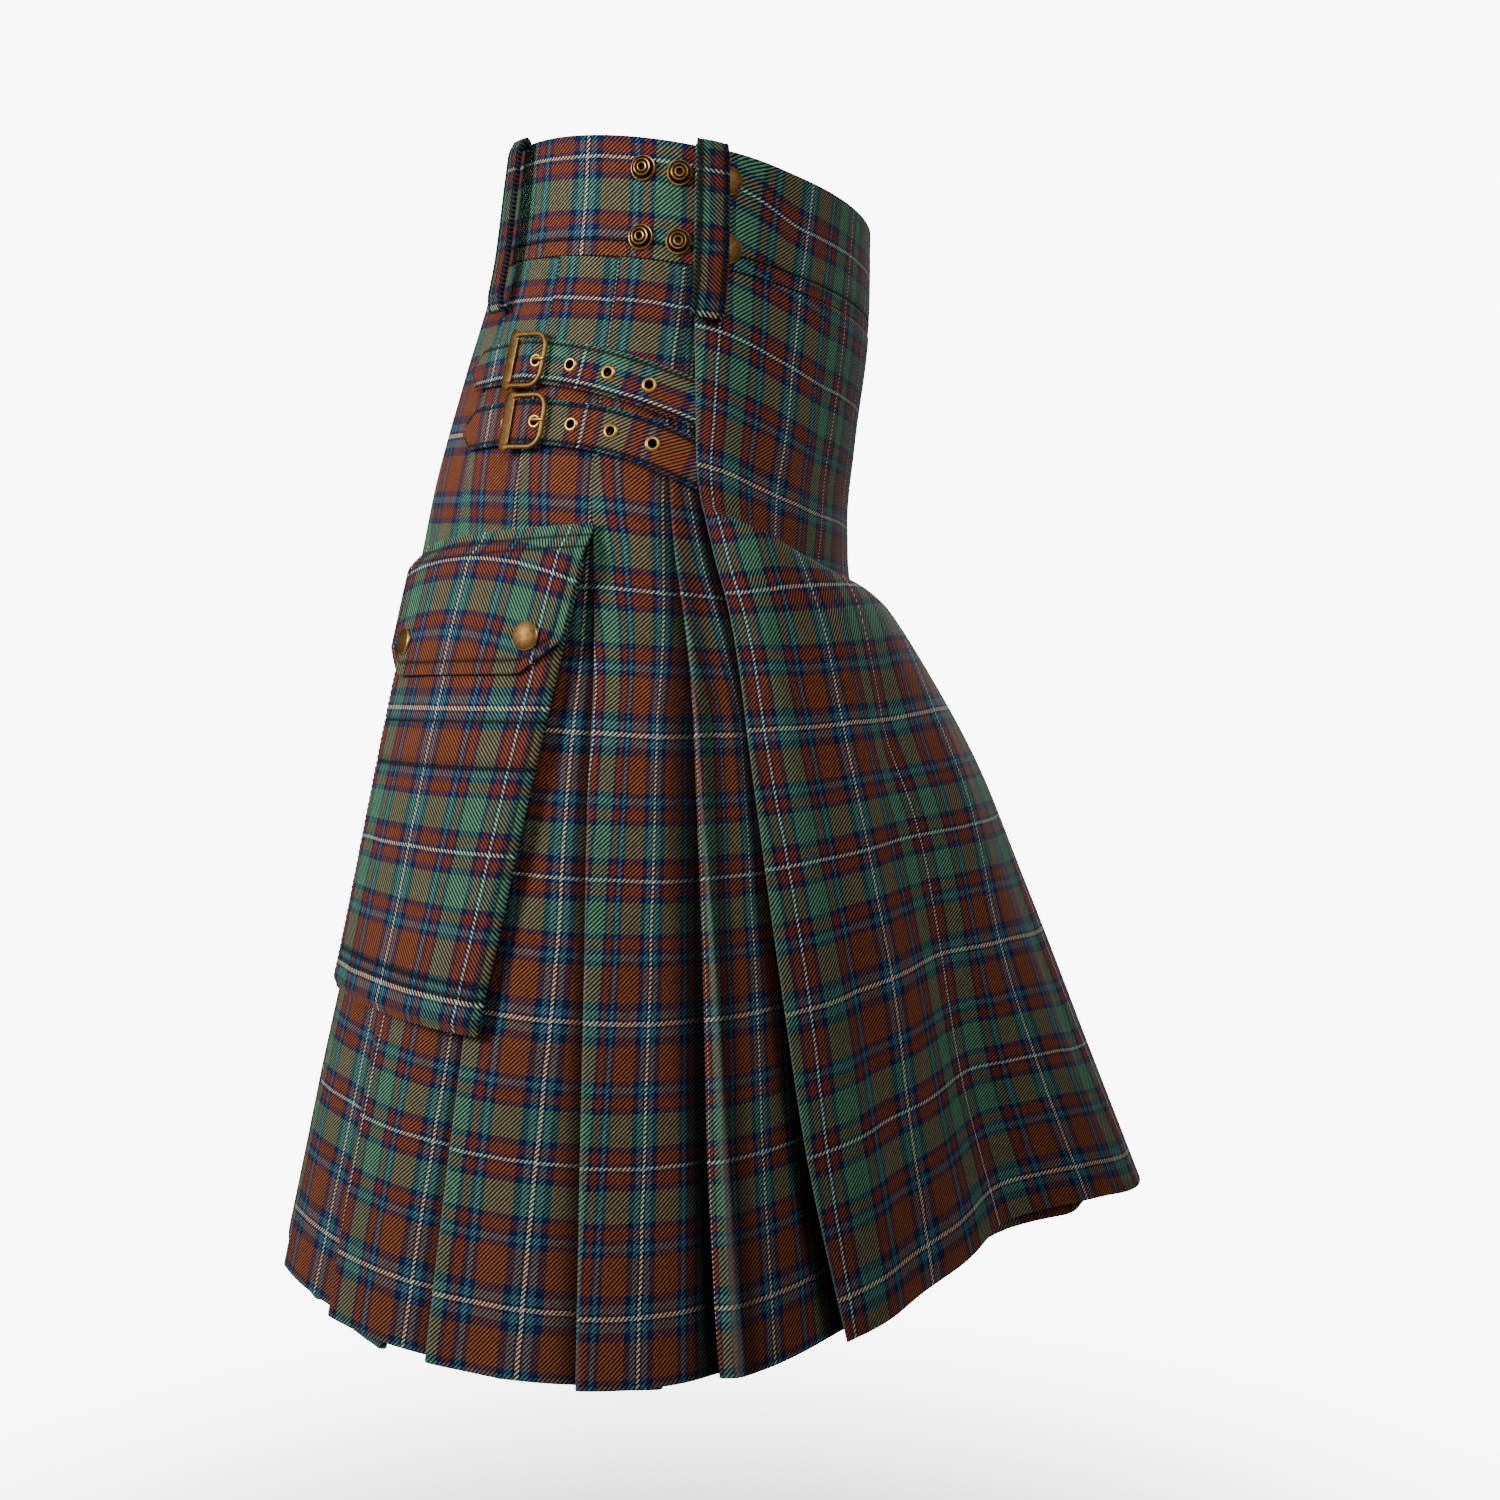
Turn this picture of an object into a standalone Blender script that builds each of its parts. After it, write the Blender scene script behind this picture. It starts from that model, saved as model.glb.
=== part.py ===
"""A utility kilt in its worn shape, hollow and open at waist and hem.

Units are metres, +Z is up, the front of the kilt faces -Y and the wearer's right side is at -X.
The origin is the centre of the waistband, at half its height, where the wearer's waist holds it.

Every cloth piece is a wall laid on one shared garment surface. A point of that surface is named by
  angle  degrees round the body: 0 at the centre back, 90 at the right hip, 180 at the front, 270 at the left hip
  share  how far down the garment: 0 at the top edge of the waistband, 1 at the hem
  rise   metres outside (+) or inside (-) the surface
"""

import math

import bmesh
import bpy
import numpy as np
from mathutils import Matrix, Vector

# ---------------------------------------------------------------- driving sizes
LENGTH = 0.640            # top edge of the waistband to the hem, along the cloth
BAND_HEIGHT = 0.064
CLOTH = 0.0011            # a single layer of kilt cloth
BAND_CLOTH = 0.0024       # the waistband is folded double over a stiffener
STRAP_CLOTH = 0.0018      # a strap is folded double
SEAM_GAP = 0.0003

PLEATS = 10               # knife pleats between the two hips, round the back
HIP = 92.3                # angle of the first and the last fold edge, from the centre back
PLEAT_PITCH = 2 * HIP / PLEATS
LAYER_TOP = 0.0017        # spacing of a pleat's layers where it is stitched down
LAYER_HEM = 0.0062        # and where it swings free at the hem
STITCHED_DOWN = 0.30      # share at which the pleats are released
PANEL_END = 116.0         # the pleated panel runs on under the aprons to this angle
TUCK = 0.0030             # the layers under the apron sink this much where it is creased

STRAP_WIDTH = 0.025
STRAP_LENGTH = 0.1705
STRAP_RISE = 0.0019       # middle of the strap over the pleats
EYELET_PITCH = 0.0235
FIRST_EYELET = 0.0300     # from the root of the strap
EYELETS = 5
PRONG_EYELET = 3
EYELET_HOLE = 0.0023      # radius of the hole in the strap
EYELET_TO_BAR = 0.0095
BUCKLE_FRONT = -0.0170    # from the bar to the end that the prong rests on
BUCKLE_PLATE = (0.0072, 0.0142)
BUCKLE_WIDTH = 0.0315
BUCKLE_WIRE = 0.0013      # radius of the frame's wire
BUCKLE_RISE = 0.0050      # middle of the frame over the pleats
BAR = (0.0009, 0.0020)    # the lower bar, which the strap passes over, from face to face
STRAP_CLIMB = 0.0018      # the strap lifts this much over the bar
PRONG_WIRE = 0.0005

LOOP_LENGTH = 0.094
LOOP_WIDTH = 0.0155
LOOP_CLOTH = 0.0026
LOOP_STAND = 0.0068       # a belt passes behind the loop in this gap
SIDE_LOOP = 97.6          # angles of the belt loops
BACK_LOOP = 37.0

POCKET_WIDTH = 0.143
POCKET_LENGTH = 0.266
POCKET_DEPTH = 0.0066
FLAP_LENGTH = 0.080
FLAP_CLOTH = 0.0022
CAP_RADIUS = 0.0080

BAND_SHARE = BAND_HEIGHT / LENGTH

# The garment's own outline. Each row is one section: how far down it is, then where its outer edge runs
# at the centre back (out, height), at the right hip (forward, out, height) and at the centre front (out, height).
SECTIONS = [
    # share  back_y   back_z   side_y  side_x  side_z  front_y  front_z
    (0.00, 0.1100, 0.051, 0.0000, 0.1480, 0.033, -0.1100, 0.013),
    (0.10, 0.1205, -0.016, 0.0016, 0.1520, -0.031, -0.1085, -0.050),
    (0.20, 0.1405, -0.080, 0.0070, 0.1590, -0.094, -0.1005, -0.113),
    (0.29, 0.1575, -0.137, 0.0110, 0.1665, -0.151, -0.0960, -0.168),
    (0.35, 0.1660, -0.176, 0.0080, 0.1725, -0.190, -0.1010, -0.204),
    (0.39, 0.1715, -0.202, 0.0045, 0.1770, -0.215, -0.1180, -0.223),
    (0.44, 0.1780, -0.235, 0.0010, 0.1825, -0.247, -0.1370, -0.248),
    (0.55, 0.1920, -0.307, -0.0032, 0.1970, -0.316, -0.1740, -0.306),
    (0.70, 0.2120, -0.404, -0.0095, 0.2160, -0.413, -0.2110, -0.392),
    (0.85, 0.2345, -0.501, -0.0150, 0.2340, -0.510, -0.2465, -0.482),
    (1.00, 0.2574, -0.603, -0.0210, 0.2500, -0.611, -0.2810, -0.569),
]

PROW = 0.33               # the front draws in to a blunt point at the hem
HITCH = 0.030             # and its hem is drawn up this much on each side of that point

# The apron breaks along a crease that runs up to each hip, and the cloth below it stands out like a lip.
CREASE_FRONT = 0.377      # share of the crease at the centre front
CREASE_HIP_RISE = 0.097   # the crease starts this much higher at the hip
# Rows of the apron at its crease: metres below the crease, the same when the lip lifts, and the rise there.
CREASE_ROWS = [
    # plain   lifted   rise
    (-0.058, -0.058, 0.0000),
    (-0.034, -0.034, -0.0006),
    (-0.018, -0.018, -0.0022),
    (-0.008, -0.006, -0.0038),
    (-0.002, -0.001, -0.0040),
    (0.003, -0.003, 0.0040),
    (0.008, -0.001, 0.0105),
    (0.015, 0.007, 0.0130),
    (0.026, 0.020, 0.0128),
    (0.046, 0.044, 0.0100),
    (0.075, 0.075, 0.0060),
    (0.115, 0.115, 0.0022),
]

# Soft vertical folds of the apron below the crease: angle, width in degrees, depth at the hem.
APRON_FOLDS = [
    # angle width  depth
    (107.5, 3.2, 0.0030),
    (119.0, 4.5, 0.0040),
    (128.5, 5.0, -0.0060),
    (141.0, 6.0, 0.0050),
    (180.0, 9.0, -0.0040),
    (205.0, 6.0, 0.0040),
    (219.0, 5.0, -0.0060),
    (232.0, 6.0, 0.0050),
    (247.0, 5.0, -0.0040),
]

# How much wider than usual each fold stands open at the hem, counted from the right hip round the back.
FOLD_OPENING = (1.55, 1.05, 1.0, 0.9, 1.1, 0.95, 1.0, 1.1, 0.9, 1.05, 1.5)

# Straps on each hip: the line of each along its middle, from its root to beyond its tip.
STRAPS = {
    "upper": [
        # angle share
        (98.9, 0.2190), (96.2, 0.2160), (85.7, 0.2075), (75.7, 0.2005), (65.7, 0.1955),
        (55.0, 0.1925), (38.0, 0.1945), (24.0, 0.1990), (8.0, 0.2050),
    ],
    "lower": [
        (100.6, 0.2700), (97.2, 0.2665), (87.5, 0.2560), (78.2, 0.2495), (68.5, 0.2460),
        (58.5, 0.2450), (50.5, 0.2460), (33.2, 0.2520), (8.0, 0.2620),
    ],
}

COLOURS = {
    # finish: (red, green, blue), metallic, roughness
    "tartan": ((0.115, 0.095, 0.060), 0.0, 0.90),
    "brass": ((0.330, 0.240, 0.120), 1.0, 0.42),
}


# ---------------------------------------------------------------- the shared surface
def smooth_step(low, high, value):
    """0 below low, 1 above high, and a smooth rise between."""
    part = np.clip((np.asarray(value, float) - low) / (high - low), 0.0, 1.0)
    return part * part * (3.0 - 2.0 * part)


def curve_through(known, value, at):
    """The value at any place along a list, on a smooth cubic curve through every entry."""
    known, value, at = (np.asarray(v, float) for v in (known, value, at))
    slope = np.gradient(value, known)
    row = np.clip(np.searchsorted(known, at, side="right") - 1, 0, len(known) - 2)
    span = known[row + 1] - known[row]
    part = (at - known[row]) / span
    two, three = part**2, part**3
    return (
        (2 * three - 3 * two + 1) * value[row]
        + (three - 2 * two + part) * span * slope[row]
        + (3 * two - 2 * three) * value[row + 1]
        + (three - two) * span * slope[row + 1]
    )


def section_column(column, share):
    """One column of SECTIONS read at any share."""
    table = np.array(SECTIONS)
    return curve_through(table[:, 0], table[:, column], share)


def apron_folds(angle, share):
    """How far the soft folds push the front of the surface out or in."""
    hang = smooth_step(0.42, 1.0, share)
    push = 0.0 * angle
    for middle, width, depth in APRON_FOLDS:
        push = push + hang * depth * np.exp(-(((angle - middle) / width) ** 2))
    return push


def bare_surface(angle, share):
    """The surface itself, with no rise: an oval through the four outlines at each share."""
    angle, share = np.broadcast_arrays(np.asarray(angle, float), np.asarray(share, float))
    back_y, back_z = section_column(1, share), section_column(2, share)
    side_y, side_x, side_z = (section_column(column, share) for column in (3, 4, 5))
    front_y, front_z = section_column(6, share), section_column(7, share)
    angle = np.mod(angle, 360.0)
    turn = np.radians(angle)
    toward_back, sideways = np.cos(turn), np.sin(turn)
    push = apron_folds(angle, share)
    from_front = np.abs(angle - 180.0)
    free = smooth_step(0.38, 1.05, share)
    narrow = 1.0 - PROW * free * np.exp(-(((from_front - 47.0) / 27.0) ** 2))
    middle_y, half_depth = (back_y + front_y) / 2, (back_y - front_y) / 2
    x = -(side_x + push) * sideways * narrow
    y = middle_y + (half_depth + push) * toward_back + (side_y - middle_y) * sideways**2
    lean = (back_z - front_z) / 2
    bow = (back_z + front_z) / 2 - side_z
    z = side_z + lean * toward_back + bow * toward_back**2
    z = z + HITCH * free * np.exp(-(((from_front - 48.0) / 30.0) ** 2))
    return np.stack([x, y, z], axis=-1)


def outward(angle, share):
    """The unit direction straight out of the surface."""
    share = np.asarray(share, float)
    round_it = bare_surface(angle + 1.5, share) - bare_surface(angle - 1.5, share)
    down = bare_surface(angle, share + 0.012) - bare_surface(angle, share - 0.012)
    normal = np.cross(down, round_it)
    return normal / np.linalg.norm(normal, axis=-1, keepdims=True)


def on_surface(angle, share, rise=0.0):
    """The point at that angle and share, rise metres outside the surface."""
    rise = np.asarray(rise, float)[..., None]
    return bare_surface(angle, share) + rise * outward(angle, share)


def metres_per_degree(angle, share):
    """Length of one degree of arc there."""
    gap = bare_surface(angle + 0.5, share) - bare_surface(angle - 0.5, share)
    return np.linalg.norm(gap, axis=-1)


# ---------------------------------------------------------------- solids
def finish_material(name):
    colour, metallic, roughness = COLOURS[name]
    material = bpy.data.materials.get(name) or bpy.data.materials.new(name)
    material.use_nodes = True
    shader = material.node_tree.nodes["Principled BSDF"]
    shader.inputs["Base Color"].default_value = (*colour, 1.0)
    shader.inputs["Metallic"].default_value = metallic
    shader.inputs["Roughness"].default_value = roughness
    return material


def solid(name, points, faces, finish):
    """A closed mesh object with its faces turned outwards."""
    mesh = bpy.data.meshes.new(name)
    mesh.from_pydata([tuple(p) for p in points], [], faces)
    shape = bmesh.new()
    shape.from_mesh(mesh)
    bmesh.ops.recalc_face_normals(shape, faces=shape.faces)
    shape.to_mesh(mesh)
    shape.free()
    mesh.shade_smooth()
    mesh.set_sharp_from_angle(angle=math.radians(35))
    mesh.materials.append(finish_material(finish))
    thing = bpy.data.objects.new(name, mesh)
    bpy.context.scene.collection.objects.link(thing)
    return thing


def wall(name, outer, inner, finish="tartan"):
    """A closed wall between two equal grids of points, [row, column, xyz]."""
    rows, columns = outer.shape[:2]
    points = np.concatenate([outer.reshape(-1, 3), inner.reshape(-1, 3)])
    number = np.arange(rows * columns).reshape(rows, columns)
    far = number + rows * columns
    faces = []
    for grid, turned in ((number, False), (far, True)):
        for r in range(rows - 1):
            for c in range(columns - 1):
                face = [grid[r, c], grid[r, c + 1], grid[r + 1, c + 1], grid[r + 1, c]]
                faces.append(face[::-1] if turned else face)
    rim = [*number[0, :], *number[1:, -1], *number[-1, -2::-1], *number[-2:0:-1, 0]]
    for here, there in zip(rim, rim[1:] + rim[:1]):
        faces.append([here, here + rows * columns, there + rows * columns, there])
    return solid(name, points, [[int(i) for i in face] for face in faces], finish)


def turned(name, profile, frame, segments, finish="brass"):
    """A round piece: profile is (radius, height) going round its section, spun about the frame's own Z.
    A profile that starts and ends on the axis closes there, and any other is a ring."""
    shape = bmesh.new()
    on_axis = profile[0][0] == 0.0
    rings = []
    for radius, height in profile:
        if radius == 0.0:
            rings.append([shape.verts.new((0.0, 0.0, height))] * segments)
            continue
        turn = [2 * math.pi * i / segments for i in range(segments)]
        rings.append([shape.verts.new((radius * math.cos(a), radius * math.sin(a), height)) for a in turn])
    pairs = list(zip(rings, rings[1:] + ([] if on_axis else rings[:1])))
    for low, high in pairs:
        for i in range(segments):
            j = (i + 1) % segments
            corners = [low[i], low[j], high[j], high[i]]
            shape.faces.new(list(dict.fromkeys(corners)))
    bmesh.ops.recalc_face_normals(shape, faces=shape.faces)
    mesh = bpy.data.meshes.new(name)
    shape.to_mesh(mesh)
    shape.free()
    mesh.transform(frame)
    mesh.shade_smooth()
    mesh.set_sharp_from_angle(angle=math.radians(35))
    mesh.materials.append(finish_material(finish))
    thing = bpy.data.objects.new(name, mesh)
    bpy.context.scene.collection.objects.link(thing)
    return thing


def frame_at(origin, along, out):
    """A placing matrix: X runs along, Z points out, Y completes them."""
    z = Vector(out).normalized()
    x = Vector(along)
    x = (x - z * x.dot(z)).normalized()
    y = z.cross(x)
    return Matrix.Translation(Vector(origin)) @ Matrix((x, y, z)).transposed().to_4x4()


def mirrored(side, angle):
    """The same angle on the right side (+1) or on the left side (-1)."""
    return angle if side > 0 else 360.0 - angle


# ---------------------------------------------------------------- pleated back
def layer_spacing(share):
    """Spacing of a pleat's three layers, which opens towards the hem."""
    free = smooth_step(STITCHED_DOWN, 1.15, share)
    return LAYER_TOP + (LAYER_HEM - LAYER_TOP) * free


def fold_lean(fold, share):
    """Degrees by which a fold's return slants open, which only the one beside the apron does."""
    return (2.2 if fold == 0 else 0.25) * smooth_step(STITCHED_DOWN, 0.95, share)


def fold_spacing(fold, share):
    free = smooth_step(STITCHED_DOWN, 0.8, share)
    return layer_spacing(share) * (1.0 + (FOLD_OPENING[fold] - 1.0) * free)


def pleat_path(share):
    """The middle line of the pleated panel at one share, as angles and rises, from the right end to the left.
    Each pleat is a face that sinks under its neighbour on the right, and a fold that turns back under it."""
    first = fold_spacing(0, share)
    path = [(PANEL_END, -2.0 * first), (HIP + 14.0, -1.3 * first), (HIP + 7.0, -0.6 * first)]
    for fold in range(PLEATS + 1):
        edge = HIP - fold * PLEAT_PITCH
        inner = edge + PLEAT_PITCH / 2
        spacing = fold_spacing(fold, share)
        lean = fold_lean(fold, share)
        path += [(edge, 0.0), (edge - lean, -spacing), (inner, -1.75 * spacing), (inner, -2.65 * spacing)]
        path.append((edge - lean, -2.0 * spacing))
        if fold < PLEATS:
            following = fold_spacing(fold + 1, share)
            path.append((edge - PLEAT_PITCH / 2, -0.5 * spacing - 0.3 * following))
    last = fold_spacing(PLEATS, share)
    path += [(-HIP - 7.0, -2.0 * last), (-HIP - 15.0, -2.0 * last), (-PANEL_END, -2.0 * last)]
    return np.array(path)


def both_sides(path, thickness):
    """The two sides of a wall along a flat path of (run, rise) in metres, mitred at its corners."""
    step = np.diff(path, axis=0)
    step /= np.linalg.norm(step, axis=1, keepdims=True)
    before = np.vstack([step[:1], step])
    after = np.vstack([step, step[-1:]])
    mean = before + after
    mean /= np.linalg.norm(mean, axis=1, keepdims=True)
    across = np.stack([-mean[:, 1], mean[:, 0]], axis=1)
    stretch = thickness / 2 / np.maximum((mean * before).sum(axis=1), 0.6)
    return path + across * stretch[:, None], path - across * stretch[:, None]


LAYER_SHARES = (BAND_SHARE + SEAM_GAP / LENGTH, 0.20, 0.27, 0.32, 0.36, 0.40, 0.47, 0.56, 0.67, 0.78, 0.89, 1.0)


def pleated_back():
    outer, inner = [], []
    for share in LAYER_SHARES:
        path = pleat_path(share)
        path[:, 1] -= tuck(path[:, 0], share)
        scale = metres_per_degree(path[:, 0], share)
        even = float(scale.mean())
        flat = np.stack([-path[:, 0] * even, path[:, 1]], axis=1)
        for side, grid in zip(both_sides(flat, CLOTH), (outer, inner)):
            angles = path[:, 0] - (side[:, 0] - flat[:, 0]) / scale
            grid.append(on_surface(angles, share, side[:, 1]))
    return wall("pleated_back", np.array(outer), np.array(inner))


# ---------------------------------------------------------------- aprons
def crease_share(angle):
    """Share of the apron's crease at each angle."""
    return CREASE_FRONT - CREASE_HIP_RISE * (np.abs(angle - 180.0) / HIP) ** 1.8


def tuck(angle, share):
    """How far the layers under the apron sink there, to leave room for its crease."""
    under = smooth_step(84.0, 76.0, np.abs(np.mod(angle, 360.0) - 180.0))
    return TUCK * under * np.exp(-(((share - crease_share(np.mod(angle, 360.0))) / 0.085) ** 2))


EDGE_SHARES = (0.0, 0.10, 0.20, 0.29, 0.36, 0.50, 0.70, 0.85, 1.0)
EDGE_ANGLES = (92.9, 93.8, 96.4, 98.9, 100.9, 100.9, 100.9, 101.4, 103.3)


def apron_edge(share):
    """Angle of the over apron's free edge on the right."""
    return curve_through(EDGE_SHARES, EDGE_ANGLES, share)


def apron_rise(angle, share):
    """The over apron lies flush at the front, and rides over the straps and pleats at both hips."""
    from_hip = 90.0 - np.abs(angle - 180.0)
    over_straps = 0.0046 - 0.0022 * (1.0 - smooth_step(0.10, 0.16, share))
    edge_lift = over_straps + 0.0035 * smooth_step(0.36, 0.9, share)
    start = 7.0 + 7.0 * smooth_step(0.28, 1.0, share)
    return edge_lift * (1.0 - smooth_step(start, start + 26.0, from_hip))


def panel(name, shares, angles_at, rise_at, thickness):
    """A plain wall: angles_at(share) gives its columns and rise_at(angles, share) its middle."""
    outer, inner = [], []
    for share in shares:
        angles = angles_at(share)
        rise = rise_at(angles, share)
        outer.append(on_surface(angles, share, rise + thickness / 2))
        inner.append(on_surface(angles, share, rise - thickness / 2))
    return wall(name, np.array(outer), np.array(inner))


def over_apron():
    """Its columns run from edge to edge, and its rows crowd along the crease and its lip."""
    top = BAND_SHARE + SEAM_GAP / LENGTH
    plain = np.array([row[0] for row in CREASE_ROWS]) / LENGTH
    lifted = np.array([row[1] for row in CREASE_ROWS]) / LENGTH
    stand = np.array([row[2] for row in CREASE_ROWS])
    columns = []
    for part in np.linspace(0.0, 1.0, 31):
        edge = apron_edge(0.31)
        crease = float(crease_share(edge + (360.0 - 2 * edge) * part))
        first, last = crease + plain[0], crease + plain[-1]
        above = top + (first - top) * np.array([0.0, 0.33, 0.66])
        below = last + (1.0 - last) * np.array([0.15, 0.32, 0.49, 0.66, 0.83, 1.0])
        share = np.concatenate([above, crease + plain, below])
        edges = apron_edge(share)
        angle = edges + (360.0 - 2 * edges) * part
        middle_part = 90.0 - np.abs(angle - 180.0)
        near_edge = middle_part[3:-6]
        centre = 1.0 - 0.55 * smooth_step(50.0, 85.0, near_edge)
        reach = centre * smooth_step(4.0, 25.0, near_edge)
        sink = centre * smooth_step(14.0, 34.0, near_edge)
        down = share.copy()
        down[3:-6] += reach * (lifted - plain)
        rise = apron_rise(angle, share)
        rise[3:-6] += np.where(stand > 0.0, reach, sink) * stand
        flat = np.stack([down * LENGTH, rise], axis=1)
        columns.append([on_surface(angle, side[:, 0] / LENGTH, side[:, 1]) for side in both_sides(flat, CLOTH)])
    grids = np.array(columns)
    return wall("over_apron", grids[:, 0], grids[:, 1])


def under_apron():
    """It carries on from the right end of the pleated panel, inside the over apron, to the left hip."""

    def rise_at(angles, share):
        first = fold_spacing(0, share)
        last = fold_spacing(PLEATS, share)
        drop = smooth_step(PANEL_END, 138.0, angles)
        home = smooth_step(180.0, 235.0, angles)
        inside = -2.0 * layer_spacing(share) - 0.0026
        deep = inside + (-2.0 * last - 0.0042 - inside) * home
        return -2.0 * first + (deep + 2.0 * first) * drop - tuck(angles, share)

    angles = np.linspace(PANEL_END + 0.30, 261.0, 18)
    return panel("under_apron", LAYER_SHARES, lambda _: angles, rise_at, CLOTH)


# ---------------------------------------------------------------- waistband
BACK_BAND_END = 104.0
OVER_BAND_EDGE = 93.6
BAND_OUTER_RISE = 0.0       # outer face of the waistband on the surface
BAND_MIDDLE = BAND_OUTER_RISE - BAND_CLOTH / 2
BAND_SHARES = (0.0, 0.05, BAND_SHARE)


def waistband_back():
    angles = np.linspace(-BACK_BAND_END, BACK_BAND_END, 23)
    return panel("waistband_back", BAND_SHARES, lambda _: angles, lambda a, _: 0 * a + BAND_MIDDLE, BAND_CLOTH)


def over_band_rise(angles, _share):
    from_hip = 90.0 - np.abs(angles - 180.0)
    lifted = BAND_OUTER_RISE + 0.0006 + BAND_CLOTH / 2
    return BAND_MIDDLE + (lifted - BAND_MIDDLE) * (1.0 - smooth_step(15.0, 36.0, from_hip))


def waistband_over():
    angles = np.linspace(OVER_BAND_EDGE, 360.0 - OVER_BAND_EDGE, 23)
    return panel("waistband_over", BAND_SHARES, lambda _: angles, over_band_rise, BAND_CLOTH)


def waistband_under():
    def rise_at(angles, _share):
        return BAND_MIDDLE - 0.0034 * smooth_step(BACK_BAND_END, BACK_BAND_END + 18.0, angles)

    angles = np.linspace(BACK_BAND_END + 0.15, 262.0, 19)
    return panel("waistband_under", BAND_SHARES, lambda _: angles, rise_at, BAND_CLOTH)


def belt_loop(name, angle, base_rise):
    """A strip that turns in against the band at its head and foot, and stands off between them."""
    degree = float(metres_per_degree(angle, 0.05))
    half = LOOP_WIDTH / 2 / degree
    reach = LOOP_LENGTH / LENGTH
    head, foot = 0.0, reach
    # share and standing-off of the strip's middle line, head first
    line = [
        (head + 0.006, 0.0),
        (head - 0.001, LOOP_STAND * 0.55),
        (head + 0.010, LOOP_STAND),
        (head + reach * 0.45, LOOP_STAND + 0.0012),
        (foot - 0.012, LOOP_STAND),
        (foot, LOOP_STAND * 0.55),
        (foot - 0.005, 0.0),
    ]
    flat = np.array([(share * LENGTH, stand) for share, stand in line])
    base = base_rise + LOOP_CLOTH / 2 + SEAM_GAP
    sides = []
    for moved in both_sides(flat, LOOP_CLOTH):
        rows = []
        for down, stand in moved:
            share = down / LENGTH
            inside = min(max(share, 0.0), 1.0)
            middle = on_surface(np.array([angle - half, angle, angle + half]), inside, base + stand)
            middle[:, 2] += (inside - share) * LENGTH
            rows.append(middle)
        sides.append(np.array(rows))
    return wall(name, sides[0], sides[1])


# ---------------------------------------------------------------- straps and buckles
BUCKLE_AT = FIRST_EYELET + PRONG_EYELET * EYELET_PITCH + EYELET_TO_BAR
EYELET_PLACES = [FIRST_EYELET + i * EYELET_PITCH for i in range(EYELETS)]


class StrapLine:
    """The middle line of one hip strap, with its own directions: along it, across it and out of it."""

    def __init__(self, side, line):
        self.side = side
        self.line = np.array(line)
        self.angles = np.linspace(self.line[0, 0], self.line[-1, 0], 400)
        points = bare_surface(self.here(self.angles), self.share(self.angles))
        steps = np.linalg.norm(np.diff(points, axis=0), axis=1)
        self.run = np.concatenate([[0.0], np.cumsum(steps)])

    def here(self, angle):
        """The angle on the strap's own side of the kilt."""
        return angle if self.side > 0 else 360.0 - angle

    def share(self, angle):
        return curve_through(-self.line[:, 0], self.line[:, 1], -np.asarray(angle))

    def rise(self, along):
        """The middle of the strap lies low, and climbs over the bar and the foot of the prong."""
        return STRAP_RISE + STRAP_CLIMB * np.exp(-(((along - BUCKLE_AT + 0.003) / 0.010) ** 2))

    def at(self, along, across, out):
        """The point at metres along from the root, across it upwards, and out from the pleats."""
        along, across, out = np.broadcast_arrays(*(np.asarray(v, float) for v in (along, across, out)))
        angle = np.interp(along, self.run, self.angles)
        share = self.share(angle)
        normal = outward(self.here(angle), share)
        later, sooner = angle - 0.4, angle + 0.4
        ahead = bare_surface(self.here(later), self.share(later))
        ahead = ahead - bare_surface(self.here(sooner), self.share(sooner))
        ahead /= np.linalg.norm(ahead, axis=-1, keepdims=True)
        up = np.cross(normal, ahead) * -self.side
        start = bare_surface(self.here(angle), share)
        return start + normal * out[..., None] + up * across[..., None]

    def frame(self, along, rise, tilt=0.0):
        """A placing matrix there: X along the strap to its tip, tilted by rise over run, and Z out of it."""
        origin, ahead, out = (
            Vector(self.at(along + step, 0.0, rise + lift))
            for step, lift in ((0.0, 0.0), (0.002, tilt * 0.002), (0.0, 0.002))
        )
        ahead, out = (ahead - origin).normalized(), out - origin
        return frame_at(origin, ahead, out - ahead * out.dot(ahead))

    def seat(self, place):
        """The placing matrix of an eyelet: on the middle of the strap and tilted with it."""
        slope = (self.rise(place + 0.001) - self.rise(place - 0.001)) / 0.002
        return self.frame(place, float(self.rise(place)), float(slope))


def strap(name, line):
    """A folded strap with a pointed tip and a hole for each eyelet."""
    tip = STRAP_WIDTH / 2
    along = np.linspace(0.0, STRAP_LENGTH - tip, 20)
    along = np.concatenate([along, [STRAP_LENGTH - tip / 2, STRAP_LENGTH - 0.0004]])
    half = np.minimum(tip, STRAP_LENGTH - along)
    across = np.stack([-half, 0 * half, half], axis=1)
    run = np.repeat(along[:, None], 3, axis=1)
    rise = line.rise(run)
    piece = wall(name, line.at(run, across, rise + STRAP_CLOTH / 2), line.at(run, across, rise - STRAP_CLOTH / 2))
    profile = [(0.0, -0.003), (EYELET_HOLE, -0.003), (EYELET_HOLE, 0.003), (0.0, 0.003)]
    for number, place in enumerate(EYELET_PLACES):
        cutter = turned(f"{name}_cutter_{number}", profile, line.seat(place), 8)
        cutter.hide_render = True
        cutter.display_type = "WIRE"
        cut = piece.modifiers.new(f"hole_{number}", "BOOLEAN")
        cut.operation = "DIFFERENCE"
        cut.object = cutter
    return piece


def eyelet(name, line, place):
    """The rolled metal ring round one hole."""
    low = STRAP_CLOTH / 2 + SEAM_GAP
    profile = [(EYELET_HOLE, low), (0.0042, low), (0.0035, low + 0.0008), (0.0027, low + 0.0008)]
    return turned(name, profile, line.seat(place), 12)


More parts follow.
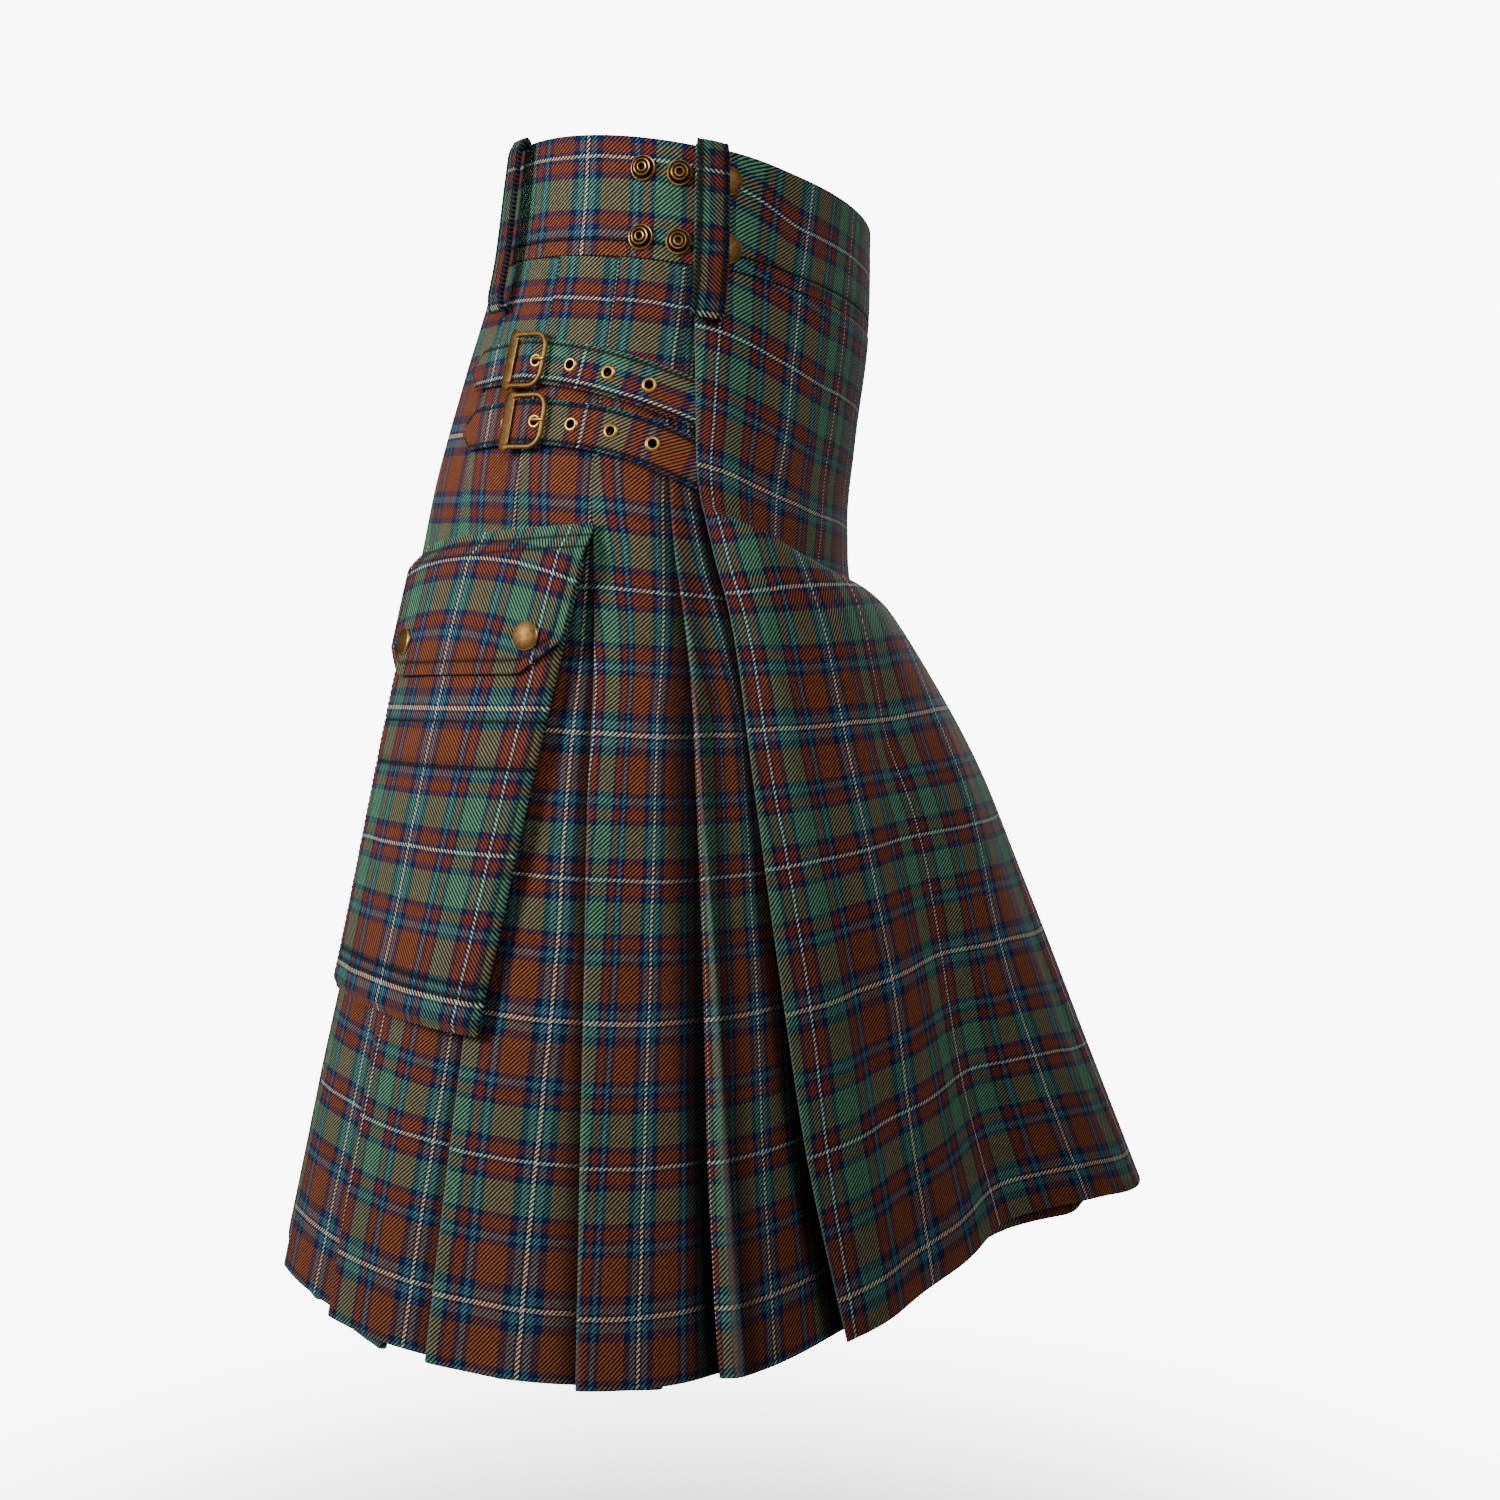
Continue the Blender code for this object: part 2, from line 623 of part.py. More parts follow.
def wire(shape, path, sides, closed):
    """Adds a wire to a bmesh: path lists (x, y, z, half width, half height) and its width lies flat."""
    count = len(path)
    loops = []
    for i, (*point, half_width, half_height) in enumerate(path):
        point = Vector(point)
        before = Vector(path[i - 1][:3]) if (closed or i) else point
        after = Vector(path[(i + 1) % count][:3]) if (closed or i < count - 1) else point
        ahead = (after - before).normalized()
        side = ahead.cross(Vector((0.0, 0.0, 1.0)))
        side = side.normalized() if closed or side.length > 0.1 else Vector((0.0, 1.0, 0.0))
        if not closed:
            side = side if side.dot(Vector((0.2, 1.0, 0.0))) > 0 else -side
        up = side.cross(ahead).normalized()
        turn = [2 * math.pi * (k + 0.5) / sides for k in range(sides)]
        loops.append([
            shape.verts.new(point + side * math.cos(a) * half_width + up * math.sin(a) * half_height) for a in turn
        ])
    pairs = list(zip(loops, loops[1:] + loops[:1])) if closed else list(zip(loops, loops[1:]))
    for low, high in pairs:
        for k in range(sides):
            j = (k + 1) % sides
            shape.faces.new([low[k], low[j], high[j], high[k]])
    if not closed:
        shape.faces.new(loops[0][::-1])
        shape.faces.new(loops[-1])


def metal(name, shape, frame):
    """A brass object made from a bmesh and put in its place."""
    bmesh.ops.recalc_face_normals(shape, faces=shape.faces)
    mesh = bpy.data.meshes.new(name)
    shape.to_mesh(mesh)
    shape.free()
    mesh.transform(frame)
    mesh.shade_smooth()
    mesh.set_sharp_from_angle(angle=math.radians(40))
    mesh.materials.append(finish_material("brass"))
    thing = bpy.data.objects.new(name, mesh)
    bpy.context.scene.collection.objects.link(thing)
    return thing


def buckle(name, line):
    """A D-shaped frame, flat and broad at its tip end, with a lower bar slung between its two sides."""
    frame = line.frame(BUCKLE_AT, BUCKLE_RISE)
    half = BUCKLE_WIDTH / 2 - BUCKLE_WIRE
    plate_start, plate_end = BUCKLE_PLATE
    plate_middle, plate_half = (plate_start + plate_end) / 2, (plate_end - plate_start) / 2
    corner = 0.0080
    thin = (BUCKLE_WIRE, BUCKLE_WIRE)
    outline = [(plate_middle, half - 0.0034, 0.0, plate_half, 0.00095)]
    outline.append((plate_middle - 0.0006, half - 0.0002, 0.0, plate_half * 0.85, 0.00105))
    outline.append((plate_start - 0.0020, half, 0.0, *thin))
    for a in (math.radians(step) for step in (0, 30, 60, 90)):
        outline.append((BUCKLE_FRONT + corner * (1 - math.sin(a)), half - corner * (1 - math.cos(a)), 0.0, *thin))
    outline += [(x, -y, z, wide, high) for x, y, z, wide, high in outline[::-1]]
    ring = bmesh.new()
    wire(ring, outline, 8, closed=True)
    body = metal(name, ring, frame)
    low = (BAR[0] + BAR[1]) / 2 - BUCKLE_RISE
    thick = (BAR[1] - BAR[0]) / 2
    sling = [(0.0, -half, -0.0002), (0.0, -half + 0.0001, low * 0.72), (0.0, -half + 0.0014, low)]
    sling += [(x, -y, z) for x, y, z in sling[::-1]]
    bar = bmesh.new()
    wire(bar, [(*point, thick * 1.4, thick) for point in sling], 6, closed=False)
    other = metal(f"{name}_bar_joined", bar, frame)
    other.hide_render = True
    other.display_type = "WIRE"
    join = body.modifiers.new("bar", "BOOLEAN")
    join.operation = "UNION"
    join.object = other
    return body


def prong(name, line):
    """The tongue: from beside the bar, under the strap, up through its eyelet and down on the frame."""
    hole = -EYELET_TO_BAR
    top = BUCKLE_RISE + BUCKLE_WIRE + PRONG_WIRE + SEAM_GAP
    points = [
        (-0.0019, 0.0, 0.00150),
        (hole + 0.0020, 0.0, 0.00140),
        (hole + 0.0004, 0.0, 0.00220),
        (hole - 0.0001, 0.0, 0.00420),
        (hole - 0.0006, 0.0, top - 0.0010),
        (hole - 0.0016, 0.0, top),
        (BUCKLE_FRONT, 0.0, top),
        (BUCKLE_FRONT - 0.0022, 0.0, top - 0.0005),
    ]
    shape = bmesh.new()
    wire(shape, [(*point, PRONG_WIRE * 1.6, PRONG_WIRE) for point in points], 6, closed=False)
    return metal(name, shape, line.frame(BUCKLE_AT, 0.0))


# ---------------------------------------------------------------- pockets
POCKET_PARTS = (0.0, 0.24, 0.60, 1.0)             # how far down the pocket
POCKET_FRONT_EDGE = (74.3, 68.8, 63.8, 59.0)      # angle of its front edge there
POCKET_HANG = (0.0018, 0.0030, 0.0040, 0.0048)    # and how far the bag stands off the pleats


class PocketPlane:
    """A hanging pocket's own coordinates: across it, down it and out of it."""

    def __init__(self, side):
        self.side = side

    def at(self, across, down, out):
        """across from its middle line towards the front, down from its top edge, out from the pleats."""
        across, down, out = (np.asarray(v, float) for v in (across, down, out))
        part = down / POCKET_LENGTH
        back_share = POCKET_WIDTH / 2 - across
        share = 0.326 + 0.026 * (1.0 - part) * back_share / POCKET_WIDTH + part * 0.420
        front = curve_through(POCKET_PARTS, POCKET_FRONT_EDGE, part)
        angle = front - back_share / metres_per_degree(front - 25.0, share)
        hang = curve_through(POCKET_PARTS, POCKET_HANG, part)
        return on_surface(angle if self.side > 0 else 360.0 - angle, share, hang + out)

    def frame(self, across, down, out):
        here = self.at(across, down, out)
        ahead = self.at(across + 0.004, down, out) - self.at(across - 0.004, down, out)
        below = self.at(across, down + 0.004, out) - self.at(across, down - 0.004, out)
        normal = Vector(ahead).cross(Vector(below))
        if normal.dot(Vector(self.at(across, down, out + 0.004) - here)) < 0:
            normal.negate()
        return frame_at(here, ahead, normal)


POCKET_TOP = 0.021        # the bag's mouth is this far under the flap's top edge
BAG_WALL = 0.0012
FLAP_RISE = POCKET_DEPTH * 1.10 + 0.0004      # the flap's inner face, clear of the bag


def pocket_bag(name, plane):
    """A flat bag, open at its mouth: an outer skin and an inner one, joined round the mouth."""
    across = np.array([-1.0, -0.93, -0.5, 0.0, 0.5, 0.93, 1.0]) * POCKET_WIDTH / 2
    down = np.array([POCKET_TOP, 0.07, 0.115, 0.16, 0.205, 0.245, POCKET_LENGTH - 0.006, POCKET_LENGTH])
    edge = np.array([0.5, 0.94, 1.0, 1.0, 1.0, 0.94, 0.5])
    puff = 1.0 + 0.10 * np.sin((down - POCKET_TOP) / (POCKET_LENGTH - POCKET_TOP) * math.pi)
    puff[-1] = 0.55
    wide, low = np.meshgrid(across, down)
    front = POCKET_DEPTH * edge[None, :] * puff[:, None]
    back = POCKET_DEPTH * (0.42 - 0.42 * edge[None, :] ** 3 + 0 * puff[:, None])
    back[-1, :] = front[-1, :] * 0.45
    skins = [plane.at(wide, low, front), plane.at(wide, low, back)]
    wide_in = np.clip(wide, -(POCKET_WIDTH / 2 - 0.0035), POCKET_WIDTH / 2 - 0.0035)
    low_in = np.minimum(low, POCKET_LENGTH - 0.0065)
    low_in[-2] = POCKET_LENGTH - 0.011
    middle = (front + back) / 2
    room = np.maximum((front - back) / 2 - BAG_WALL, 0.00025)
    room[:, 0] = room[:, -1] = 0.00025
    room[-1, :] = 0.00025
    middle[-1, :] = middle[-2, :]
    skins += [plane.at(wide_in, low_in, middle + room), plane.at(wide_in, low_in, middle - room)]
    rows, columns = wide.shape
    count = rows * columns
    grid = np.arange(count).reshape(rows, columns)
    faces = []
    for skin in range(4):
        for r in range(rows - 1):
            for c in range(columns - 1):
                faces.append([int(skin * count + grid[r + a, c + b]) for a, b in ((0, 0), (0, 1), (1, 1), (1, 0))])
    # each skin's sides and foot close on its partner, and the mouth joins the outer pair to the inner pair
    edge_line = [*grid[:, 0], *grid[-1, 1:], *grid[-2::-1, -1]]
    for one, other in ((0, 1), (2, 3)):
        for here, there in zip(edge_line, edge_line[1:]):
            faces.append([int(one * count + here), int(one * count + there),
                          int(other * count + there), int(other * count + here)])
    for one, other in ((0, 2), (1, 3)):
        for here, there in zip(grid[0, :-1], grid[0, 1:]):
            faces.append([int(one * count + here), int(one * count + there),
                          int(other * count + there), int(other * count + here)])
    for corner in (grid[0, 0], grid[0, -1]):
        faces.append([int(skin * count + corner) for skin in (0, 1, 3, 2)])
    return solid(name, np.concatenate([s.reshape(-1, 3) for s in skins]), faces, "tartan")


def pocket_flap(name, plane):
    """A flap with both lower corners cut off, sewn down along its top and lying over the bag."""
    half = POCKET_WIDTH / 2 + 0.0015
    cut = 0.022
    across = np.array([-1.0, -(half - cut) / half, -0.4, 0.0, 0.4, (half - cut) / half, 1.0]) * half
    rows_down = [0.0, 0.010, 0.018, 0.030, 0.045, 0.060, FLAP_LENGTH]
    outer, inner = [], []
    for number, down in enumerate(rows_down):
        low = np.full(across.shape, down)
        if number >= len(rows_down) - 2:
            low[[0, -1]] = down - (0.004 if number == len(rows_down) - 2 else cut * 0.8)
        base = 0.0006 + (FLAP_RISE - 0.0006) * smooth_step(0.002, 0.018, low)
        outer.append(plane.at(across, low, base + FLAP_CLOTH))
        inner.append(plane.at(across, low, base))
    return wall(name, np.array(outer), np.array(inner))


def snap_cap(name, frame):
    """The domed cap of a press stud."""
    profile = [(0.0, 0.0), (CAP_RADIUS * 0.9, 0.0), (CAP_RADIUS, 0.0007), (CAP_RADIUS * 0.88, 0.0018)]
    profile += [(CAP_RADIUS * 0.5, 0.0028), (0.0, 0.0032)]
    return turned(name, profile, frame, 14)


def ring_stud(name, frame):
    """The open half of a press stud: a rimmed dish with a hollow post."""
    profile = [(0.0, 0.0), (0.0062, 0.0), (0.0068, 0.0008), (0.0062, 0.0014), (0.0054, 0.0007)]
    profile += [(0.0036, 0.0007), (0.0036, 0.0034), (0.0031, 0.0040), (0.0021, 0.0038), (0.0018, 0.0018), (0.0, 0.0018)]
    return turned(name, profile, frame, 14)


# ---------------------------------------------------------------- the whole kilt
STUD_ROWS = {"upper": 0.026, "lower": 0.083}
STUD_COLUMNS = {"front": 89.4, "back": 79.3}
BAND_CAP = 102.3


def placed(maker, name, angle, share, rise):
    """A round fastener set square on the surface."""
    ahead = bare_surface(angle + 1.0, share) - bare_surface(angle - 1.0, share)
    return maker(name, frame_at(on_surface(angle, share, rise), ahead, outward(angle, share)))


def fasteners_on_band():
    """Four open studs on the back band at the right hip, and a pair of caps on the over band at each hip."""
    for row, share in STUD_ROWS.items():
        for column, angle in STUD_COLUMNS.items():
            placed(ring_stud, f"stud_{row}_{column}", angle, share, SEAM_GAP)
        for side, label in ((1, "right"), (-1, "left")):
            rise = float(over_band_rise(np.array(BAND_CAP), share)) + BAND_CLOTH / 2 + 0.0004
            placed(snap_cap, f"band_cap_{label}_{row}", mirrored(side, BAND_CAP), share, rise)


def hip_straps(side, label):
    for level, table in STRAPS.items():
        line = StrapLine(side, table)
        stem = f"{label}_{level}"
        strap(f"strap_{stem}", line)
        for number, place in enumerate(EYELET_PLACES):
            eyelet(f"eyelet_{stem}_{number + 1}", line, place)
        buckle(f"buckle_{stem}", line)
        prong(f"prong_{stem}", line)


def pocket(side, label):
    plane = PocketPlane(side)
    pocket_bag(f"pocket_{label}", plane)
    pocket_flap(f"flap_{label}", plane)
    for edge, across in (("front", 0.051), ("back", -0.051)):
        frame = plane.frame(across, 0.060, FLAP_RISE + FLAP_CLOTH + SEAM_GAP)
        snap_cap(f"flap_cap_{label}_{edge}", frame)


def main():
    for thing in list(bpy.data.objects):
        bpy.data.objects.remove(thing, do_unlink=True)
    pleated_back()
    over_apron()
    under_apron()
    waistband_back()
    waistband_over()
    waistband_under()
    fasteners_on_band()
    over_face = float(over_band_rise(np.array(SIDE_LOOP), 0.05)) + BAND_CLOTH / 2
    for side, label in ((1, "right"), (-1, "left")):
        belt_loop(f"belt_loop_side_{label}", mirrored(side, SIDE_LOOP), over_face + 0.0012)
        belt_loop(f"belt_loop_back_{label}", side * BACK_LOOP, BAND_OUTER_RISE + CLOTH / 2)
        hip_straps(side, label)
        pocket(side, label)


main()
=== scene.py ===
"""Dresses a packed utility kilt: pleats, aprons, bands, straps, buckles and pockets in woven tartan.

Units are metres, +Z is up and the front of the kilt faces -Y. The origin is the centre of the waistband.
Every cloth piece lies on one garment surface, whose points are named by an angle round the body (0 at the
centre back, 90 at the right hip, 180 at the front), a share of the way down (0 top edge, 1 hem) and a rise
in metres outside it. Woven pieces carry a UV map named "sett": one unit is half a repeat of the tartan,
its first number counts across the cloth and its second down it.
"""

import math

import bmesh
import bpy
import numpy as np
from mathutils import Matrix, Vector


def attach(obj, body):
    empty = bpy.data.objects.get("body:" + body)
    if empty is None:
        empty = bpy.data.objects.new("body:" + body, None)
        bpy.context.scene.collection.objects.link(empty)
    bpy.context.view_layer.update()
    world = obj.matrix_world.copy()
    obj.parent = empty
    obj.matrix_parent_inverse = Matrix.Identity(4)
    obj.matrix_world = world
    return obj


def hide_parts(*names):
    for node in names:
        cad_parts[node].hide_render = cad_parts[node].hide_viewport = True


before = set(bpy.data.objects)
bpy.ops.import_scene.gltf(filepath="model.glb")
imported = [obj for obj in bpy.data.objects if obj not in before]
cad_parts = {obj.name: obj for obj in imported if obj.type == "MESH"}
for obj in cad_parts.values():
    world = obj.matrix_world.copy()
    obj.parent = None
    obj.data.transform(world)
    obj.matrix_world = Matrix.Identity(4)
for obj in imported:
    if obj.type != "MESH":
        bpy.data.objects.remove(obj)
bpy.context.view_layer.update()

bl_info = {
    "name": "Utility kilt",
    "version": (1, 0, 0),
    "blender": (4, 5, 0),
    "location": "3D View > Sidebar > Kilt",
    "description": "Pleats, aprons, bands, straps, buckles and pockets of a tartan utility kilt",
    "category": "Add Mesh",
}

# ---------------------------------------------------------------- sizes of the cut, as the solids have them
LENGTH = 0.640            # top edge of the waistband to the hem, along the cloth
BAND_HEIGHT = 0.064
CLOTH = 0.0011            # a single layer of kilt cloth
BAND_CLOTH = 0.0024       # the waistband is folded double over a stiffener
STRAP_CLOTH = 0.0018      # a strap is folded double
SEAM_GAP = 0.0003
EDGE_THINNING = 0.45      # a border row keeps this share of the cloth's thickness
THREAD_THICK = 0.00050    # sewing thread
THREAD_LIFT = 0.00018     # its middle stands this far off the cloth

PLEATS = 10               # knife pleats between the two hips, round the back
HIP = 92.3                # angle of the first and the last fold edge, from the centre back
PLEAT_PITCH = 2 * HIP / PLEATS
LAYER_TOP = 0.0017        # spacing of a pleat's layers where it is stitched down
LAYER_HEM = 0.0062        # and where it swings free at the hem
STITCHED_DOWN = 0.30      # share at which the pleats are released
PANEL_END = 116.0         # the pleated panel runs on under the aprons to this angle
TUCK = 0.0030             # the layers under the apron sink this much where it is creased

STRAP_WIDTH = 0.025
STRAP_LENGTH = 0.1705
STRAP_RISE = 0.0019       # middle of the strap over the pleats
STRAP_SEAM = 0.0025       # its sewn line is this far in from its edge
STRAP_SETT = 0.070        # half a repeat along it
EYELET_PITCH = 0.0235
FIRST_EYELET = 0.0300     # from the root of the strap
EYELETS = 5
PRONG_EYELET = 3
EYELET_HOLE = 0.0023      # radius of the hole in the strap
EYELET_TO_BAR = 0.0095
BUCKLE_FRONT = -0.0170    # from the bar to the end that the prong rests on
BUCKLE_PLATE = (0.0072, 0.0142)
BUCKLE_WIDTH = 0.0315
BUCKLE_WIRE = 0.0013      # radius of the frame's wire
BUCKLE_RISE = 0.0050      # middle of the frame over the pleats
BAR = (0.0009, 0.0020)    # the lower bar, which the strap passes over, from face to face
STRAP_CLIMB = 0.0018      # the strap lifts this much over the bar
PRONG_WIRE = 0.0005

LOOP_LENGTH = 0.094
LOOP_WIDTH = 0.0155
LOOP_CLOTH = 0.0026
LOOP_STAND = 0.0068       # a belt passes behind the loop in this gap
LOOP_SEAM = 0.0022        # its sewn lines are this far in from its edges
LOOP_SETT = 0.60          # its middle line's place in the sett
SIDE_LOOP = 97.6          # angles of the belt loops
BACK_LOOP = 37.0

POCKET_WIDTH = 0.143
POCKET_LENGTH = 0.266
POCKET_DEPTH = 0.0066
POCKET_TOP = 0.021        # the bag's mouth is this far under the flap's top edge
BAG_WALL = 0.0012
FLAP_LENGTH = 0.080
FLAP_CLOTH = 0.0022
FLAP_RISE = POCKET_DEPTH * 1.10 + 0.0004
FLAP_CUT = 0.022          # size of the flap's cut-off corners
CAP_RADIUS = 0.0080
FLAP_CAP_ACROSS = 0.051   # the two caps are this far from the flap's middle
FLAP_CAP_DOWN = 0.060     # and this far down it

BAND_SHARE = BAND_HEIGHT / LENGTH
TOP_SHARE = BAND_SHARE + SEAM_GAP / LENGTH

# One row per section: how far down, then the outline at the centre back, the right hip and the centre front.
SECTIONS = np.array([
    # share  back_y   back_z   side_y  side_x  side_z  front_y  front_z
    (0.00, 0.1100, 0.051, 0.0000, 0.1480, 0.033, -0.1100, 0.013),
    (0.10, 0.1205, -0.016, 0.0016, 0.1520, -0.031, -0.1085, -0.050),
    (0.20, 0.1405, -0.080, 0.0070, 0.1590, -0.094, -0.1005, -0.113),
    (0.29, 0.1575, -0.137, 0.0110, 0.1665, -0.151, -0.0960, -0.168),
    (0.35, 0.1660, -0.176, 0.0080, 0.1725, -0.190, -0.1010, -0.204),
    (0.39, 0.1715, -0.202, 0.0045, 0.1770, -0.215, -0.1180, -0.223),
    (0.44, 0.1780, -0.235, 0.0010, 0.1825, -0.247, -0.1370, -0.248),
    (0.55, 0.1920, -0.307, -0.0032, 0.1970, -0.316, -0.1740, -0.306),
    (0.70, 0.2120, -0.404, -0.0095, 0.2160, -0.413, -0.2110, -0.392),
    (0.85, 0.2345, -0.501, -0.0150, 0.2340, -0.510, -0.2465, -0.482),
    (1.00, 0.2574, -0.603, -0.0210, 0.2500, -0.611, -0.2810, -0.569),
])

PROW = 0.33               # the front draws in to a blunt point at the hem
HITCH = 0.030             # and its hem is drawn up this much on each side of that point

CREASE_FRONT = 0.377      # share of the apron's crease at the centre front
CREASE_HIP_RISE = 0.097   # the crease starts this much higher at the hip
# Rows of the apron at its crease: metres below the crease, the same when the lip lifts, and the rise there.
CREASE_ROWS = np.array([
    # plain   lifted   rise
    (-0.058, -0.058, 0.0000),
    (-0.034, -0.034, -0.0006),
    (-0.018, -0.018, -0.0022),
    (-0.008, -0.006, -0.0038),
    (-0.002, -0.001, -0.0040),
    (0.003, -0.003, 0.0040),
    (0.008, -0.001, 0.0105),
    (0.015, 0.007, 0.0130),
    (0.026, 0.020, 0.0128),
    (0.046, 0.044, 0.0100),
    (0.075, 0.075, 0.0060),
    (0.115, 0.115, 0.0022),
])

# Soft vertical folds of the apron below the crease: angle, width in degrees, depth at the hem.
APRON_FOLDS = [
    (107.5, 3.2, 0.0030),
    (119.0, 4.5, 0.0040),
    (128.5, 5.0, -0.0060),
    (141.0, 6.0, 0.0050),
    (180.0, 9.0, -0.0040),
    (205.0, 6.0, 0.0040),
    (219.0, 5.0, -0.0060),
    (232.0, 6.0, 0.0050),
    (247.0, 5.0, -0.0040),
]

# How much wider than usual each fold stands open at the hem, counted from the right hip round the back.
FOLD_OPENING = (1.55, 1.05, 1.0, 0.9, 1.1, 0.95, 1.0, 1.1, 0.9, 1.05, 1.5)

# The line of each hip strap along its middle, from its root to beyond its tip: angle and share.
STRAPS = {
    "upper": [
        (98.9, 0.2190), (96.2, 0.2160), (85.7, 0.2075), (75.7, 0.2005), (65.7, 0.1955),
        (55.0, 0.1925), (38.0, 0.1945), (24.0, 0.1990), (8.0, 0.2050),
    ],
    "lower": [
        (100.6, 0.2700), (97.2, 0.2665), (87.5, 0.2560), (78.2, 0.2495), (68.5, 0.2460),
        (58.5, 0.2450), (50.5, 0.2460), (33.2, 0.2520), (8.0, 0.2620),
    ],
}

EDGE_SHARES = (0.0, 0.10, 0.20, 0.29, 0.36, 0.50, 0.70, 0.85, 1.0)
EDGE_ANGLES = (92.9, 93.8, 96.4, 98.9, 100.9, 100.9, 100.9, 101.4, 103.3)

BACK_BAND_END = 104.0
OVER_BAND_EDGE = 93.6
UNDER_BAND_END = 262.0
BAND_MIDDLE = -BAND_CLOTH / 2
BACK_BAND_CREAM = 62.2    # angle of a cream line on the back band
BACK_BAND_SETT = 0.067    # half a repeat along it

POCKET_SHARE = 0.326      # share of the front end of its top edge
POCKET_TILT = 0.026       # the back end lies this share lower
POCKET_SPAN = 0.420       # and its foot this share lower
POCKET_PARTS = (0.0, 0.24, 0.60, 1.0)             # how far down the pocket
POCKET_FRONT_EDGE = (74.3, 68.8, 63.8, 59.0)      # angle of its front edge there
POCKET_HANG = (0.0018, 0.0030, 0.0040, 0.0048)    # and how far the bag stands off the pleats

STUD_ROWS = {"upper": 0.026, "lower": 0.083}
STUD_COLUMNS = {"front": 89.4, "back": 79.3}
BAND_CAP = 102.3
SIDES = ((1, "right"), (-1, "left"))

# ---------------------------------------------------------------- the tartan, charted in half repeats
# Each stripe starts at this part of the half repeat, which is mirrored at both its ends.
STRIPES = [
    (0.000, "cream"), (0.014, "navy"), (0.034, "teal"), (0.088, "navy"), (0.152, "rust"), (0.402, "navy"),
    (0.438, "teal"), (0.482, "navy"), (0.520, "brick"), (0.586, "navy"), (0.626, "green"), (0.846, "navy"),
    (0.894, "brick"), (0.958, "navy"), (0.986, "cream"),
]
SETT_ACROSS = 0.062       # half a repeat across the cloth
SETT_DOWN = 0.0755        # and down it
STRAP_ROWS = {"upper": 1.0 + 0.0085 / SETT_DOWN, "lower": 0.28}     # the sett along each strap's middle

# Where whole numbers of the sett come down the pleats and down the apron.
PLEAT_ROWS = [(0.136, 1), (0.252, 2), (0.378, 3), (0.496, 4), (0.614, 5), (0.726, 6), (0.838, 7), (0.948, 8)]
APRON_ROWS = [(0.152, 1), (0.268, 2), (0.378, 3), (0.494, 4), (0.612, 5), (0.732, 6), (0.850, 7), (0.966, 8)]

# Where the cream line of each pleat's face lies: degrees behind the fold on its right, at each share.
PLEAT_LINE_SHARES = (0.10, 0.15, 0.19, 0.28, 0.34, 0.48, 0.58, 0.64, 0.73, 0.83, 0.93, 1.0)
PLEAT_LINES = {
    0: (-3.0, -3.0, -3.2, -4.0, -6.0, -8.2, -7.2, -6.45, -5.7, -4.7, -4.2, -3.9),
    1: (0.6, 1.3, 1.8, 1.8, 2.8, 7.05, 8.0, 8.8, 9.6, 10.3, 11.0, 11.4),
    2: (0.4, 0.5, 0.6, 0.6, 1.6, 3.8, 4.4, 4.6, 5.3, 6.1, 6.8, 7.2),
    3: (0.6, 0.9, 1.2, 1.5, 2.0, 2.6, 2.9, 3.1, 3.4, 4.1, 4.9, 5.2),
}
# Degrees that half a repeat takes on each pleat's face, near the band and at the hem.
PLEAT_SCALES = {0: (20.0, 8.3), 1: (29.0, 10.9), 2: (29.0, 16.0), 3: (27.0, 13.6)}

# The whole numbers of the sett across the apron: shares, then the angle of each of its lines there.
APRON_LINE_SHARES = (0.10, 0.15, 0.22, 0.29, 0.35, 0.40, 0.49, 0.61, 0.73, 0.85, 1.0)
APRON_LINES = np.array([
    (100.5, 101.3, 101.6, 102.0, 103.4, 104.2, 104.0, 104.5, 104.5, 103.9, 104.25),
    (125.5, 125.0, 124.3, 122.0, 121.8, 121.8, 120.25, 119.0, 117.8, 115.8, 114.4),
    (146.0, 146.0, 145.0, 142.0, 138.5, 135.0, 131.5, 131.4, 129.2, 126.8, 127.0),
    (161.5, 161.5, 161.0, 160.0, 158.0, 155.0, 149.8, 147.5, 141.7, 140.4, 141.75),
])
APRON_CENTRE = 5.7        # the sett at the centre front
UNDER_SCALE = 16.5        # degrees that half a repeat takes on the under apron
UNDER_BAND_SCALE = 26.0   # and on its band
APRON_DIP = 0.021         # its rows dip by this share from the hip to the front
BAND_DIP = 0.018          # and the rows of its band by this many metres
BAND_SLANT = 5.0          # degrees that the band's columns lean over its height


# ---------------------------------------------------------------- the garment surface
def smooth_step(low, high, value):
    """0 below low, 1 above high, and three parts squared less two parts cubed between."""
    part = np.clip((np.asarray(value, float) - low) / (high - low), 0.0, 1.0)
    return part * part * (3.0 - 2.0 * part)


def hermite(value, slope, row, part, span=1.0):
    """Cubic Hermite curve: each stretch blends its two ends and the slopes there."""
    two, three = part**2, part**3
    return (
        (2 * three - 3 * two + 1) * value[row]
        + (three - 2 * two + part) * span * slope[row]
        + (3 * two - 2 * three) * value[row + 1]
        + (three - two) * span * slope[row + 1]
    )


def curve_through(known, value, at):
    """A Hermite curve through a list of places and values."""
    known, value, at = (np.asarray(v, float) for v in (known, value, at))
    slope = np.gradient(value, known)
    row = np.clip(np.searchsorted(known, at, side="right") - 1, 0, len(known) - 2)
    span = known[row + 1] - known[row]
    return hermite(value, slope, row, (at - known[row]) / span, span)


def section_column(column, share):
    return curve_through(SECTIONS[:, 0], SECTIONS[:, column], share)


